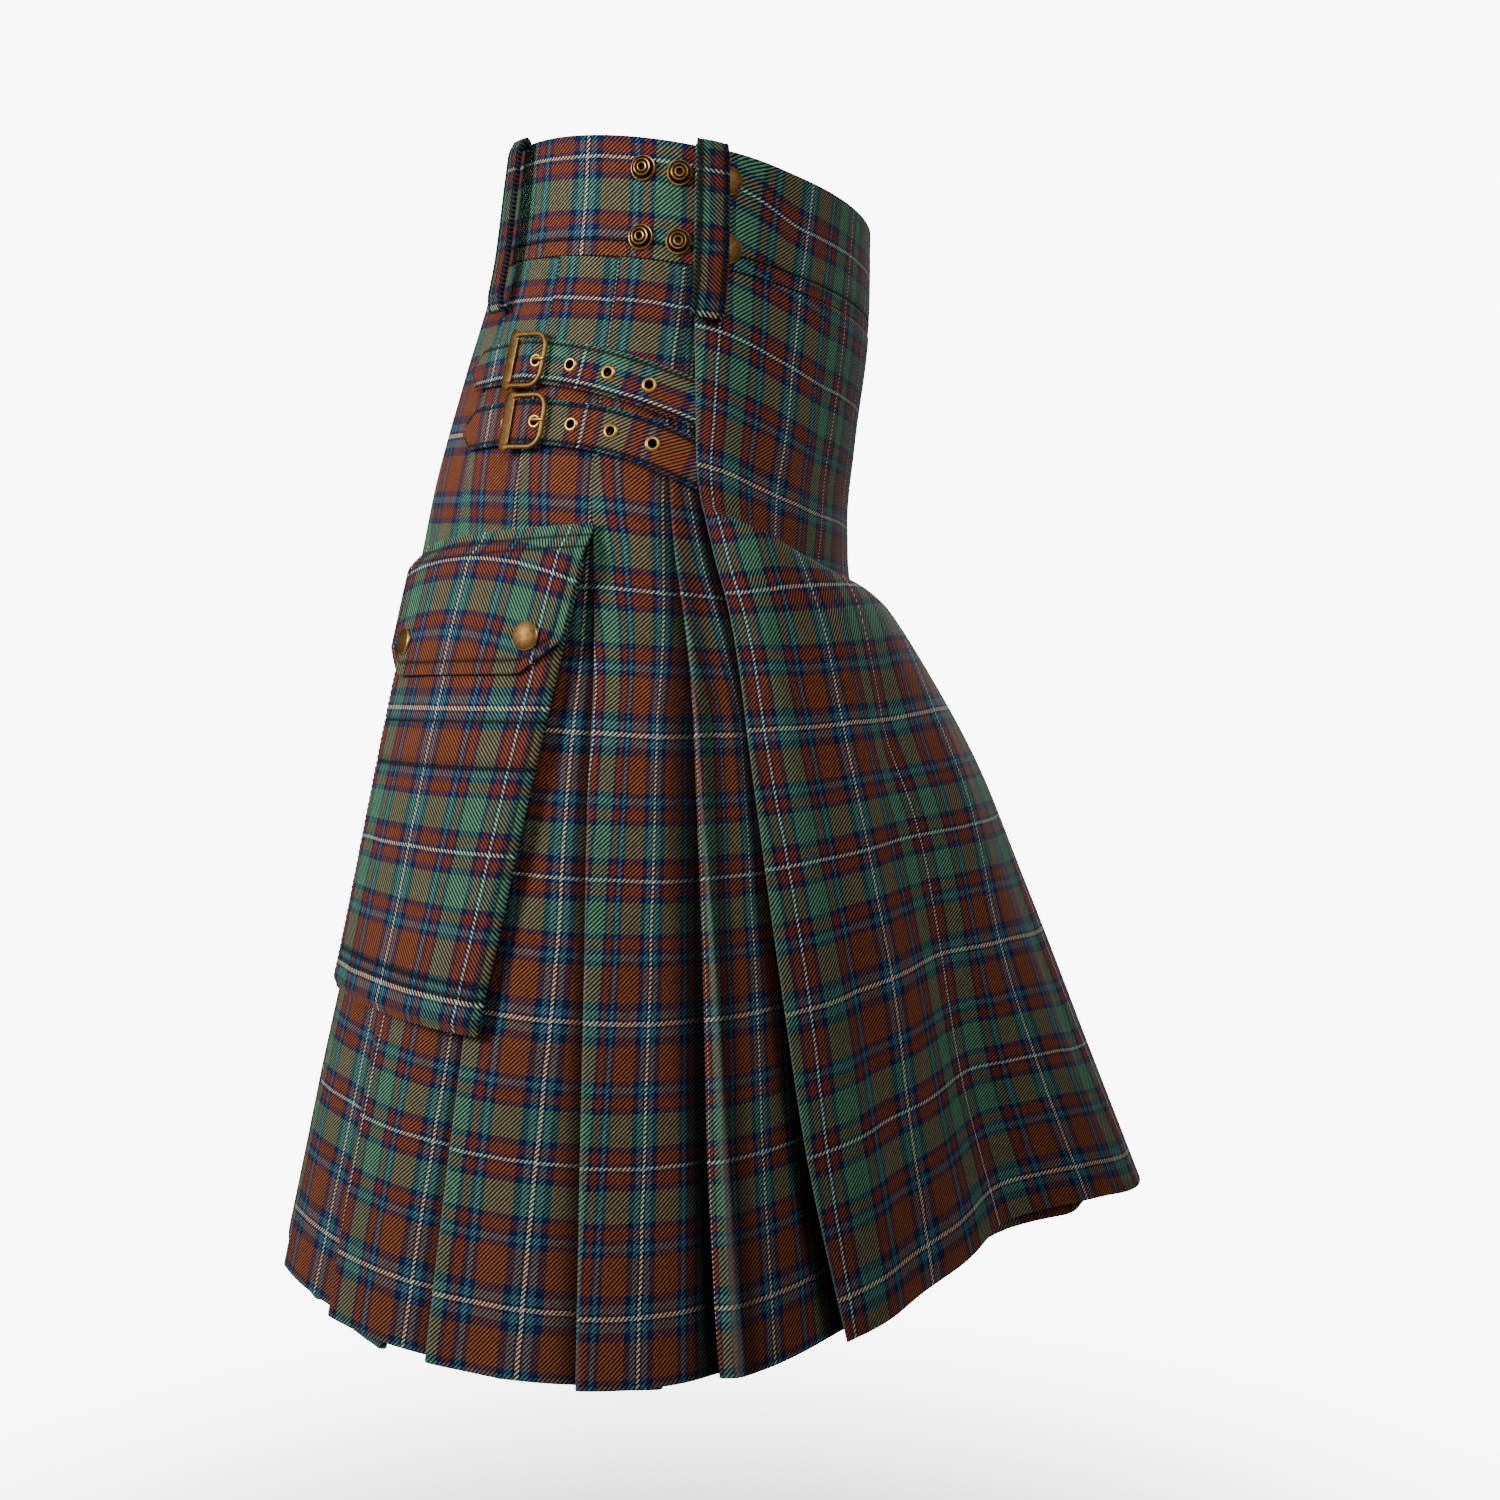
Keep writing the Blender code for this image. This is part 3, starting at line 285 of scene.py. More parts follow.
def apron_folds(angle, share):
    """Sum of bell curves over the angle, which grow from nothing at the hip to their full depth at
    the hem."""
    hang = smooth_step(0.42, 1.0, share)
    push = 0.0 * angle
    for middle, width, depth in APRON_FOLDS:
        push = push + hang * depth * np.exp(-(((angle - middle) / width) ** 2))
    return push


def bare_surface(angle, share):
    """An oval through the outlines at each share: the side outline times the sine of the angle sideways,
    half the depth times its cosine forward, drawn in beside the front and leaning as the outlines do."""
    angle, share = np.broadcast_arrays(np.asarray(angle, float), np.asarray(share, float))
    back_y, back_z = section_column(1, share), section_column(2, share)
    side_y, side_x, side_z = (section_column(column, share) for column in (3, 4, 5))
    front_y, front_z = section_column(6, share), section_column(7, share)
    angle = np.mod(angle, 360.0)
    turn = np.radians(angle)
    toward_back, sideways = np.cos(turn), np.sin(turn)
    push = apron_folds(angle, share)
    from_front = np.abs(angle - 180.0)
    free = smooth_step(0.38, 1.05, share)
    narrow = 1.0 - PROW * free * np.exp(-(((from_front - 47.0) / 27.0) ** 2))
    middle_y, half_depth = (back_y + front_y) / 2, (back_y - front_y) / 2
    x = -(side_x + push) * sideways * narrow
    y = middle_y + (half_depth + push) * toward_back + (side_y - middle_y) * sideways**2
    lean = (back_z - front_z) / 2
    bow = (back_z + front_z) / 2 - side_z
    z = side_z + lean * toward_back + bow * toward_back**2
    z = z + HITCH * free * np.exp(-(((from_front - 48.0) / 30.0) ** 2))
    return np.stack([x, y, z], axis=-1)


def outward(angle, share):
    """Unit vector across the surface's two directions there, which are taken as small differences."""
    share = np.asarray(share, float)
    round_it = bare_surface(angle + 1.5, share) - bare_surface(angle - 1.5, share)
    down = bare_surface(angle, share + 0.012) - bare_surface(angle, share - 0.012)
    normal = np.cross(down, round_it)
    return normal / np.linalg.norm(normal, axis=-1, keepdims=True)


def on_surface(angle, share, rise=0.0):
    """The surface's point plus rise times the unit vector out of it."""
    rise = np.asarray(rise, float)[..., None]
    return bare_surface(angle, share) + rise * outward(angle, share)


def metres_per_degree(angle, share):
    gap = bare_surface(angle + 0.5, share) - bare_surface(angle - 0.5, share)
    return np.linalg.norm(gap, axis=-1)


def crease_share(angle):
    return CREASE_FRONT - CREASE_HIP_RISE * (np.abs(angle - 180.0) / HIP) ** 1.8


def tuck(angle, share):
    """How far the layers under the apron sink to leave room for its crease: a bell curve down the share."""
    under = smooth_step(84.0, 76.0, np.abs(np.mod(angle, 360.0) - 180.0))
    return TUCK * under * np.exp(-(((share - crease_share(np.mod(angle, 360.0))) / 0.085) ** 2))


def apron_edge(share):
    return curve_through(EDGE_SHARES, EDGE_ANGLES, share)


def apron_rise(angle, share):
    """Flush at the front, and lifted over the straps and pleats by a smooth step towards each hip."""
    from_hip = 90.0 - np.abs(angle - 180.0)
    over_straps = 0.0046 - 0.0022 * (1.0 - smooth_step(0.10, 0.16, share))
    edge_lift = over_straps + 0.0035 * smooth_step(0.36, 0.9, share)
    start = 7.0 + 7.0 * smooth_step(0.28, 1.0, share)
    return edge_lift * (1.0 - smooth_step(start, start + 26.0, from_hip))


def both_sides(path, thickness):
    """The two sides of a wall along flat paths [..., point, (run, rise)]: each point moves half the thickness
    along the mean of its two neighbouring square directions, further at a corner."""
    step = np.diff(path, axis=-2)
    step = step / np.maximum(np.linalg.norm(step, axis=-1, keepdims=True), 1e-9)
    before = np.concatenate([step[..., :1, :], step], axis=-2)
    after = np.concatenate([step, step[..., -1:, :]], axis=-2)
    mean = before + after
    mean = mean / np.maximum(np.linalg.norm(mean, axis=-1, keepdims=True), 1e-9)
    across = np.stack([-mean[..., 1], mean[..., 0]], axis=-1)
    stretch = thickness / 2 / np.maximum((mean * before).sum(axis=-1), 0.6)
    return path + across * stretch[..., None], path - across * stretch[..., None]


def creases(table, angle, share):
    """Soft troughs and ridges placed one by one: each row is a middle angle and share, a half width in
    degrees, a half length in share, how many degrees it leans per share, and its height. Each is a bell curve
    both across and along."""
    push = 0.0 * angle * share
    for middle, level, wide, long, lean, height in table:
        off = angle - middle - lean * (share - level)
        push = push + height * np.exp(-((off / wide) ** 2) - ((share - level) / long) ** 2)
    return push


# ---------------------------------------------------------------- meshes from whole arrays
def put_together(name, points, faces, material, sett=None, marks=None, sharp=50.0, weave=None):
    """A mesh object at the origin from arrays: points, a list of face arrays, and values kept at each point.
    weave is metres across and down the cloth, which its ribs follow, and comes from the sett where not
    given."""
    faces = [np.asarray(part, dtype=np.int32) for part in faces if len(part)]
    sizes = np.concatenate([np.full(len(part), part.shape[1], dtype=np.int32) for part in faces])
    corners = np.concatenate([part.ravel() for part in faces])
    mesh = bpy.data.meshes.new(name)
    mesh.vertices.add(len(points))
    mesh.vertices.foreach_set("co", np.asarray(points, dtype=np.float32).ravel())
    mesh.loops.add(len(corners))
    mesh.loops.foreach_set("vertex_index", corners)
    mesh.polygons.add(len(sizes))
    mesh.polygons.foreach_set("loop_start", np.concatenate([[0], np.cumsum(sizes)[:-1]]).astype(np.int32))
    mesh.update(calc_edges=True)
    if sett is not None:
        weave = sett * (SETT_ACROSS, SETT_DOWN) if weave is None else weave
        for layer_name, values in (("sett", sett), ("weave", weave)):
            layer = mesh.uv_layers.new(name=layer_name)
            layer.uv.foreach_set("vector", np.asarray(values, dtype=np.float32)[corners].ravel())
    for key, value in (marks or {}).items():
        stored = mesh.attributes.new(key, "FLOAT", "POINT")
        stored.data.foreach_set("value", np.asarray(value, dtype=np.float32))
    if mesh.validate():
        raise RuntimeError(f"{name}: the mesh had faces that don't hold together")
    mesh.shade_smooth()
    mesh.set_sharp_from_angle(angle=math.radians(sharp))
    mesh.materials.append(material)
    thing = bpy.data.objects.new(name, mesh)
    bpy.context.scene.collection.objects.link(thing)
    return thing


def grid_faces(number):
    """Four-cornered faces between the neighbours of a grid of point numbers."""
    return np.stack(
        [number[:-1, :-1], number[:-1, 1:], number[1:, 1:], number[1:, :-1]], axis=-1
    ).reshape(-1, 4)


def cloth_wall(name, outer, inner, sett, material, seam=None, sharp=50.0, weave=None, **others):
    """A closed wall between two grids [row, column, xyz]: both grids, and a rim that joins their borders.
    seam and the other marks are values over the grid, which the finish reads."""
    rows, columns = outer.shape[:2]
    number = np.arange(rows * columns).reshape(rows, columns)
    far = number + rows * columns
    rim = np.concatenate([number[0, :], number[1:, -1], number[-1, -2::-1], number[-2:0:-1, 0]])
    following = np.roll(rim, -1)
    band = np.stack([rim, rim + rows * columns, following + rows * columns, following], axis=-1)
    faces = [grid_faces(number), grid_faces(far)[:, ::-1], band]
    across = outer[:-1, 1:] - outer[:-1, :-1]
    down = outer[1:, :-1] - outer[:-1, :-1]
    through = (outer - inner)[:-1, :-1]
    if (np.cross(across, down) * through).sum() < 0:
        faces = [part[:, ::-1] for part in faces]
    points = np.concatenate([outer.reshape(-1, 3), inner.reshape(-1, 3)])
    both = np.concatenate([sett.reshape(-1, 2)] * 2)
    ribs = None if weave is None else np.concatenate([weave.reshape(-1, 2)] * 2)
    others["seam"] = 0.0 if seam is None else seam
    marks = {
        key: np.tile(np.broadcast_to(value, (rows, columns)).ravel(), 2) for key, value in others.items()
    }
    return put_together(name, points, faces, material, both, marks, sharp, ribs)


def fine_rows(start, end, count, special=(), beside=0.0011, edge=0.0004):
    """Distances from start to end, with close rows at both borders and at each special line for its
    groove."""
    extra = [start + edge, end - edge]
    for place in special:
        extra += [place - beside, place, place + beside]
    return np.unique(np.round(np.concatenate([np.linspace(start, end, count), extra]), 6))


def thinned(rows, columns, thickness):
    """A wall's thickness over its grid, thinner on the border rows and columns, which rounds its edge."""
    thick = np.full((rows, columns), float(thickness))
    thick[[0, -1], :] *= EDGE_THINNING
    thick[:, [0, -1]] *= EDGE_THINNING
    return thick


def groove(distances, lines, width=0.0012):
    """1 on a sewn line and 0 beside it, as a hat of that half width with a flat crown."""
    value = np.zeros(np.shape(distances))
    for line in lines:
        value = np.maximum(value, 1.5 * (1.0 - np.abs(distances - line) / width))
    return np.clip(value, 0.0, 1.0)


def stitches(name, line, out, material, length=0.0026, gap=0.0009):
    """One thread stitch after another along a line of points: each is a four-sided tube that starts and ends
    in the cloth and stands up between, so its height over the cloth is an arch along its length."""
    line, out = np.asarray(line, float), np.asarray(out, float)
    run = np.concatenate([[0.0], np.cumsum(np.linalg.norm(np.diff(line, axis=0), axis=1))])
    count = int((run[-1] - gap) / (length + gap))
    middle = gap + length / 2 + np.arange(count) * (run[-1] - gap) / count
    part = np.array([-0.5, -0.30, 0.30, 0.5])
    arch = np.array([-0.9, 0.75, 0.75, -0.9])
    at = middle[:, None] + part * length

    def read(values, where):
        return np.stack([np.interp(where, run, values[:, i]) for i in range(3)], axis=-1)

    centre, up = read(line, at), read(out, at)
    up = up / np.linalg.norm(up, axis=-1, keepdims=True)
    ahead = read(line, at + 0.0004) - read(line, at - 0.0004)
    ahead = ahead / np.maximum(np.linalg.norm(ahead, axis=-1, keepdims=True), 1e-9)
    side = np.cross(up, ahead)
    centre = centre + up * (THREAD_LIFT + arch * THREAD_THICK / 2)[None, :, None]
    ring = [side, up, -side, -up]
    points = np.stack([centre + way * THREAD_THICK / 2 for way in ring], axis=2)
    number = np.arange(points.size // 3).reshape(count, 4, 4)
    turned_on = np.roll(number, -1, axis=2)
    tube = np.stack(
        [number[:, :-1], turned_on[:, :-1], turned_on[:, 1:], number[:, 1:]], axis=-1
    ).reshape(-1, 4)
    ends = np.concatenate([number[:, 0, ::-1], number[:, -1]])
    return put_together(name, points.reshape(-1, 3), [tube[:, ::-1], ends[:, ::-1]], material, sharp=80.0)


def joined(name, things):
    """Several meshes with the same material made one."""
    with bpy.context.temp_override(active_object=things[0], selected_editable_objects=things):
        bpy.ops.object.join()
    things[0].name = things[0].data.name = name
    return things[0]


def turned(name, profile, frames, segments, material):
    """Round pieces: a profile of (radius, height, brightness) spun about the Z axis of each placing matrix.
    A profile that starts and ends on the axis closes there, and any other is a ring."""
    profile = np.array(profile, float)
    closed = profile[0, 0] > 0.0
    body = profile if closed else profile[1:-1]
    turn = np.linspace(0.0, 2 * np.pi, segments, endpoint=False)
    ring = np.stack(
        [body[:, :1] * np.cos(turn), body[:, :1] * np.sin(turn), body[:, 1:2] + 0 * turn], axis=-1
    )
    local, bright = ring.reshape(-1, 3), np.repeat(body[:, 2], segments)
    number = np.arange(len(local)).reshape(len(body), segments)
    number = np.concatenate([number, number[:, :1]], axis=1)
    if closed:
        number = np.concatenate([number, number[:1]])
    quads, caps = grid_faces(number), np.zeros((0, 3), int)
    if not closed:
        poles = np.array([[0, 0, profile[0, 1]], [0, 0, profile[-1, 1]]])
        low, high = len(local), len(local) + 1
        local, bright = np.concatenate([local, poles]), np.append(bright, profile[[0, -1], 2])
        first, last = number[0], number[-1]
        caps = np.concatenate([
            np.stack([0 * first[:-1] + low, first[1:], first[:-1]], axis=-1),
            np.stack([0 * last[:-1] + high, last[:-1], last[1:]], axis=-1),
        ])
    run = profile[:, 0] * np.roll(profile[:, 1], -1) - np.roll(profile[:, 0], -1) * profile[:, 1]
    if run.sum() < 0:
        quads, caps = quads[:, ::-1], caps[:, ::-1]
    points, faces_four, faces_three = [], [], []
    for count, place in enumerate(frames):
        matrix = np.array(place)
        points.append(local @ matrix[:3, :3].T + matrix[:3, 3])
        faces_four.append(quads + count * len(local))
        faces_three.append(caps + count * len(local))
    marks = {"bright": np.tile(bright, len(frames))}
    return put_together(name, np.concatenate(points),
                        [np.concatenate(faces_four), np.concatenate(faces_three)],
                        material, None, marks, sharp=40.0)


def turn_outwards(piece):
    """Turns the faces of a closed mesh outwards."""
    shape = bmesh.new()
    shape.from_mesh(piece.data)
    bmesh.ops.recalc_face_normals(shape, faces=shape.faces)
    shape.to_mesh(piece.data)
    shape.free()


def through_rows(values, steps):
    """Values [row, ...] at every row and between rows, on a smooth curve through them all."""
    values = np.asarray(values, float)
    at = np.linspace(0.0, len(values) - 1.0, (len(values) - 1) * steps + 1)
    flat = values.reshape(len(values), -1)
    row = np.clip(at.astype(int), 0, len(values) - 2)
    out = hermite(flat, np.gradient(flat, axis=0), row, (at - row)[:, None])
    return out.reshape(len(at), *values.shape[1:])


def wire(name, path, frame_matrix, sides, material, closed, flat_side=None, bright=None, square=2.0):
    """A bar carried along a path of (x, y, z, half width, half height): at each point an oval, or a rounded
    box where square is over 2, stands across the way ahead with its width along flat_side or lying flat."""
    path = np.asarray(path, float)
    place = path[:, :3]
    if closed:
        ahead = np.roll(place, -1, axis=0) - np.roll(place, 1, axis=0)
    else:
        ahead = np.gradient(place, axis=0)
    ahead = ahead / np.linalg.norm(ahead, axis=1, keepdims=True)
    side = np.cross(ahead, [0.0, 0.0, 1.0]) if flat_side is None else np.broadcast_to(flat_side, ahead.shape)
    side = side - ahead * (side * ahead).sum(axis=1, keepdims=True)
    side = side / np.linalg.norm(side, axis=1, keepdims=True)
    up = np.cross(side, ahead)
    turn = 2 * np.pi * (np.arange(sides) + 0.5) / sides
    wide = np.sign(np.cos(turn)) * np.abs(np.cos(turn)) ** (2 / square)
    high = np.sign(np.sin(turn)) * np.abs(np.sin(turn)) ** (2 / square)
    points = (
        place[:, None]
        + side[:, None] * (path[:, 3:4] * wide)[..., None]
        + up[:, None] * (path[:, 4:5] * high)[..., None]
    )
    count = len(path)
    number = np.arange(count * sides).reshape(count, sides)
    number = np.concatenate([number, number[:, :1]], axis=1)
    if closed:
        number = np.concatenate([number, number[:1]])
    faces = [grid_faces(number)]
    if not closed:
        faces += [number[:1, :-1], number[-1:, -2::-1]]
    matrix = np.array(frame_matrix)
    points = points.reshape(-1, 3) @ matrix[:3, :3].T + matrix[:3, 3]
    value = np.ones(count * sides) if bright is None else bright(path, np.cos(turn)).ravel()
    thing = put_together(name, points, faces, material, None, {"bright": value}, sharp=45.0)
    turn_outwards(thing)
    return thing


def frame_at(origin, along, out):
    """A placing matrix: X runs along, Z points out, Y completes them."""
    z = Vector(out).normalized()
    x = Vector(along)
    x = (x - z * x.dot(z)).normalized()
    y = z.cross(x)
    return Matrix.Translation(Vector(origin)) @ Matrix((x, y, z)).transposed().to_4x4()


def mirrored(side, angle):
    """The same angle on the right side (+1) or on the left side (-1)."""
    return angle if side > 0 else 360.0 - angle


def on_root(piece, *nodes, slot="tartan"):
    """The piece belongs to the kilt's one body and stands for those solids. The slot is not used."""
    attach(piece, "root")
    if nodes:
        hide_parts(*nodes)
    return piece


# ---------------------------------------------------------------- finishes
def linear(red, green, blue):
    """Colour numbers of 0 to 255 as shown on a screen, as linear light."""
    return tuple(
        c / 12.92 if c <= 0.04045 else ((c + 0.055) / 1.055) ** 2.4
        for c in (red / 255, green / 255, blue / 255)
    )


class Amount:
    """A shader socket that ordinary arithmetic works on."""

    def __init__(self, bench, socket):
        self.bench, self.socket = bench, socket

    def math(self, operation, *others):
        return self.bench.add("ShaderNodeMath", {"operation": operation}, dict(enumerate([self, *others])))

    def __add__(self, other):
        return self.math("ADD", other)

    def __sub__(self, other):
        return self.math("SUBTRACT", other)

    def __mul__(self, other):
        return self.math("MULTIPLY", other)

    def __rsub__(self, other):
        return (self * -1.0) + other

    __radd__ = __add__

    def between(self, low, high):
        """0 below low, 1 above high, smooth between."""
        settings = {"interpolation_type": "SMOOTHSTEP", "clamp": True}
        return self.bench.add(
            "ShaderNodeMapRange", settings, {"Value": self, "From Min": low, "From Max": high}
        )


class Bench:
    """The nodes of one material."""

    def __init__(self, name):
        self.material = bpy.data.materials.new(name)
        self.material.use_nodes = True
        self.tree = self.material.node_tree
        self.shader = self.tree.nodes["Principled BSDF"]

    def add(self, kind, settings=None, inputs=None, output=0):
        """A node with its settings made first, then the values or links of its sockets."""
        node = self.tree.nodes.new(kind)
        for key, value in (settings or {}).items():
            if key == "stops":
                ramp = node.color_ramp
                ramp.interpolation = "CONSTANT"
                for number, (place, colour) in enumerate(value):
                    stop = ramp.elements[number] if number < 2 else ramp.elements.new(place)
                    stop.position = place
                    stop.color = (*colour, 1.0)
            else:
                setattr(node, key, value)
        self.fill(node, inputs or {})
        return Amount(self, node.outputs[output])

    def fill(self, node, inputs):
        for key, value in inputs.items():
            if isinstance(value, Amount):
                self.tree.links.new(value.socket, node.inputs[key])
            else:
                node.inputs[key].default_value = value

    def blend(self, factor, first, second):
        """Two colours mixed by a factor."""
        settings = {"data_type": "RGBA", "blend_type": "MIX", "clamp_factor": True}
        colours = {
            key: (*value, 1.0) if isinstance(value, tuple) and len(value) == 3 else value
            for key, value in {6: first, 7: second}.items()
        }
        return self.add("ShaderNodeMix", settings, {0: factor, **colours}, output=2)

    def two_of(self, uv_map):
        """The two numbers of a UV map."""
        parts = self.tree.nodes.new("ShaderNodeSeparateXYZ")
        self.fill(parts, {0: self.add("ShaderNodeUVMap", {"uv_map": uv_map})})
        return Amount(self, parts.outputs[0]), Amount(self, parts.outputs[1])

    def scaled(self, colour, amount):
        """A colour times a number."""
        return self.add("ShaderNodeVectorMath", {"operation": "SCALE"}, {0: colour, "Scale": amount})

    def spots(self, scale, detail=2.0, roughness=0.5):
        """Noise over the object's own coordinates, 0 to 1."""
        at = self.add("ShaderNodeTexCoord", output=3)
        return self.add(
            "ShaderNodeTexNoise", None,
            {"Vector": at, "Scale": scale, "Detail": detail, "Roughness": roughness}
        )

    def finish(self, colour, roughness, height=None, distance=0.0003, strength=1.0, **constants):
        inputs = {"Base Color": colour, "Roughness": roughness}
        if height is not None:
            inputs["Normal"] = self.add(
                "ShaderNodeBump", None, {"Strength": strength, "Distance": distance, "Height": height}
            )
        self.fill(self.shader, inputs)
        self.fill(self.shader, {key.replace("_", " "): value for key, value in constants.items()})
        return self.material


def tartan_cloth(name, twill=1.0, shade=1.0):
    """Woven tartan: the slanting ribs of a two and two twill, each one half the thread that runs down and
    half the thread that runs across, with painted shade in the hollow beside it. A rib's place is the sum
    of the two ways over the cloth in metres, over its width. Folds are pale along their edges, which is
    wear with a painted highlight, and dark in their depth, which is painted shade. A shade under 1
    darkens the whole cloth, as painted shade for pieces that lie in shade."""
    yarn = bpy.context.scene.kilt_yarn
    bench = Bench(name)
    across, down = bench.two_of("sett")
    along, below = bench.two_of("weave")
    # the threads waver a little, so no stripe is ruled dead straight
    waver = (bench.spots(38.0, 2.0) - 0.5) * 0.022
    fibre = bench.spots(1500.0, 2.0, 0.7)
    slub = bench.spots(260.0, 3.0, 0.6)
    wear = bench.spots(11.0, 3.0, 0.55)
    stops = [(place, tuple(getattr(yarn, key))) for place, key in STRIPES]
    warp = bench.add("ShaderNodeValToRGB", {"stops": stops}, {0: (across + waver).math("PINGPONG", 1.0)})
    weft = bench.add("ShaderNodeValToRGB", {"stops": stops}, {0: (down + waver * 0.8).math("PINGPONG", 1.0)})
    rib = along * (twill / yarn.rib_width) + below * (1.0 / yarn.rib_width) + fibre * 0.25
    wave = (rib * (2 * math.pi)).math("SINE")
    warp_up = (rib * (2 * math.pi)).math("COSINE").between(-1.2, 1.2)
    cloth = bench.blend(warp_up, weft, warp)
    # painted shade: the hollow beside each rib is darkened, down to 4 per cent in its middle
    hollow = 1.0 - wave.between(-0.50, 0.50)
    seam, worn, deep = (
        bench.add("ShaderNodeAttribute", {"attribute_name": mark}, output=2)
        for mark in ("seam", "worn", "deep")
    )
    speckle = 1.18 + (slub - 0.5) * 0.50 + (fibre - 0.5) * 1.60
    bright = speckle * (0.86 + wear * 0.28) * (1.0 - hollow * 0.96)
    # deep darkens the cloth: painted shade in the depth of folds and beside edges that stand over the cloth,
    # and a dark line where the folds are sewn down
    bright = bright * (1.0 - seam * 0.94) * (1.0 - deep * 0.93)
    # painted shade: a shade under 1 darkens the whole cloth of a shaded copy
    cloth = bench.scaled(cloth, bright * shade)
    # pale fold and apron edges: wear with a painted highlight
    cloth = bench.blend(worn * (0.25 + slub * 0.5), cloth, tuple(yarn.worn))
    height = wave * 0.35 + fibre * 0.45 + slub * 0.3
    rough = 0.95 - fibre * 0.08
    return bench.finish(
        cloth, rough, height, 0.00035, 0.75,
        Sheen_Weight=0.08, Sheen_Roughness=0.5, Sheen_Tint=(0.85, 0.88, 0.92, 1.0), Specular_IOR_Level=0.14,
    )


def thread_finish(name, colour):
    """Sewing thread: one colour with the slant of its ply and a little change along it."""
    bench = Bench(name)
    at = bench.add("ShaderNodeTexCoord", output=3)
    ply = bench.add(
        "ShaderNodeTexWave", {"bands_direction": "DIAGONAL"},
        {"Vector": at, "Scale": 900.0, "Distortion": 1.5}
    )
    shade = bench.spots(300.0)
    colour = bench.scaled(colour, 0.7 + shade * 0.4 + ply * 0.3)
    return bench.finish(colour, 0.62 + shade * 0.15, ply, 0.0001, 0.6, Sheen_Weight=0.2, Sheen_Roughness=0.4)


def aged_brass(name):
    """Antiqued brass: bare and bright where it is rubbed, and brown in its hollows, with fine scratches."""
    metal = bpy.context.scene.kilt_metal
    bench = Bench(name)
    rubbed = bench.add("ShaderNodeAttribute", {"attribute_name": "bright"}, output=2)
    stain = bench.spots(420.0, 4.0, 0.65)
    cloud = bench.spots(120.0, 2.0)
    at = bench.add("ShaderNodeTexCoord", output=3)
    long = bench.add(
        "ShaderNodeMapping", {"vector_type": "POINT"}, {"Vector": at, "Scale": (260.0, 2600.0, 900.0)}
    )
    scratch = bench.add("ShaderNodeTexNoise", None, {"Vector": long, "Scale": 1.0, "Detail": 2.0})
    share = (rubbed + (stain - 0.5) * 0.28 + (cloud - 0.5) * 0.20).between(0.15, 0.95)
    colour = bench.blend(share, tuple(metal.hollows), tuple(metal.rubbed))
    colour = bench.scaled(colour, 0.86 + scratch * 0.24)
    rough = 0.56 - share * 0.20 + (scratch - 0.5) * 0.16
    height = scratch * 0.5 + stain * 0.5
    return bench.finish(colour, rough, height, 0.00008, 0.5, Metallic=0.84, Specular_IOR_Level=0.5)


def finishes():
    """The kilt's finishes by name, each made once."""
    made = bpy.data.materials
    makers = {
        "kilt_tartan": tartan_cloth,
        "kilt_tartan_turned": lambda name: tartan_cloth(name, twill=-1.0),
        # painted shade: a copy of the cloth darkened to 0.8, for the under apron, its band and the belt loops
        "kilt_tartan_under": lambda name: tartan_cloth(name, shade=0.8),
        "seam_thread": lambda name: thread_finish(name, tuple(bpy.context.scene.kilt_yarn.thread)),
        "antique_brass": aged_brass,
    }
    for name, maker in makers.items():
        if name not in made:
            maker(name)
    return {name: made[name] for name in makers}


# ---------------------------------------------------------------- where the sett lies
def rows_of(table, share):
    """The sett down the cloth: straight between the table's rows, and carried on past both ends."""
    known, value = (np.array(column, float) for column in zip(*table))
    share = np.asarray(share, float)
    inside = np.interp(share, known, value)
    first = (value[1] - value[0]) / (known[1] - known[0])
    last = (value[-1] - value[-2]) / (known[-1] - known[-2])
    inside = np.where(share < known[0], value[0] + (share - known[0]) * first, inside)
    return np.where(share > known[-1], value[-1] + (share - known[-1]) * last, inside)


def pleat_columns(face, share, angle):
    """The sett across one pleat's face: degrees from its cream line, over the degrees of half a repeat."""
    line, scale = pleat_line(face, share)
    return (angle - line) / scale


def pleat_line(face, share):
    """The angle of a pleat's cream line, and the degrees that half a repeat takes beside it."""
    kind = face if face in PLEAT_LINES else 2 + face % 2
    fold = HIP - (face - 1) * PLEAT_PITCH if face else HIP
    line = fold - np.interp(share, PLEAT_LINE_SHARES, PLEAT_LINES[kind])
    near_band, at_hem = PLEAT_SCALES[kind]
    return line, near_band + (at_hem - near_band) * smooth_step(0.16, 0.50, share)


def apron_columns(share, angle):
    """The sett across the apron: straight between its lines, and the other half carries on from the front."""
    share, angle = np.broadcast_arrays(np.asarray(share, float), np.asarray(angle, float))
    own = 180.0 - np.abs(angle - 180.0)
    lines = [curve_through(APRON_LINE_SHARES, row, np.clip(share, 0.10, 1.0)) for row in APRON_LINES]
    lines.append(0.0 * own + 180.0)
    value = [1.0, 2.0, 3.0, 4.0, APRON_CENTRE]
    sett = value[0] + (own - lines[0]) / (lines[1] - lines[0])
    for number in range(1, 4):
        part = (own - lines[number]) / (lines[number + 1] - lines[number])
        sett = np.where(own > lines[number], value[number] + part * (value[number + 1] - value[number]), sett)
    return np.where(angle > 180.0, 2 * APRON_CENTRE - sett, sett)


def apron_rows(share, angle):
    """The sett down the apron: the table's rows, which dip towards the front above its crease."""
    own = 180.0 - np.abs(angle - 180.0)
    dip = APRON_DIP * smooth_step(92.0, 142.0, own) * (1.0 - smooth_step(0.27, 0.38, share))
    return rows_of(APRON_ROWS, share - dip)


def band_rows(share, angle, dip=0.0):
    """The sett down the waistbands: a cream row lies 11.5 mm under their top edge, and dips to the front."""
    own = 180.0 - np.abs(angle - 180.0)
    low = share * LENGTH - 0.0115 - dip * (0.3 + 0.7 * smooth_step(98.0, 130.0, own))
    return 1.0 + low / SETT_DOWN


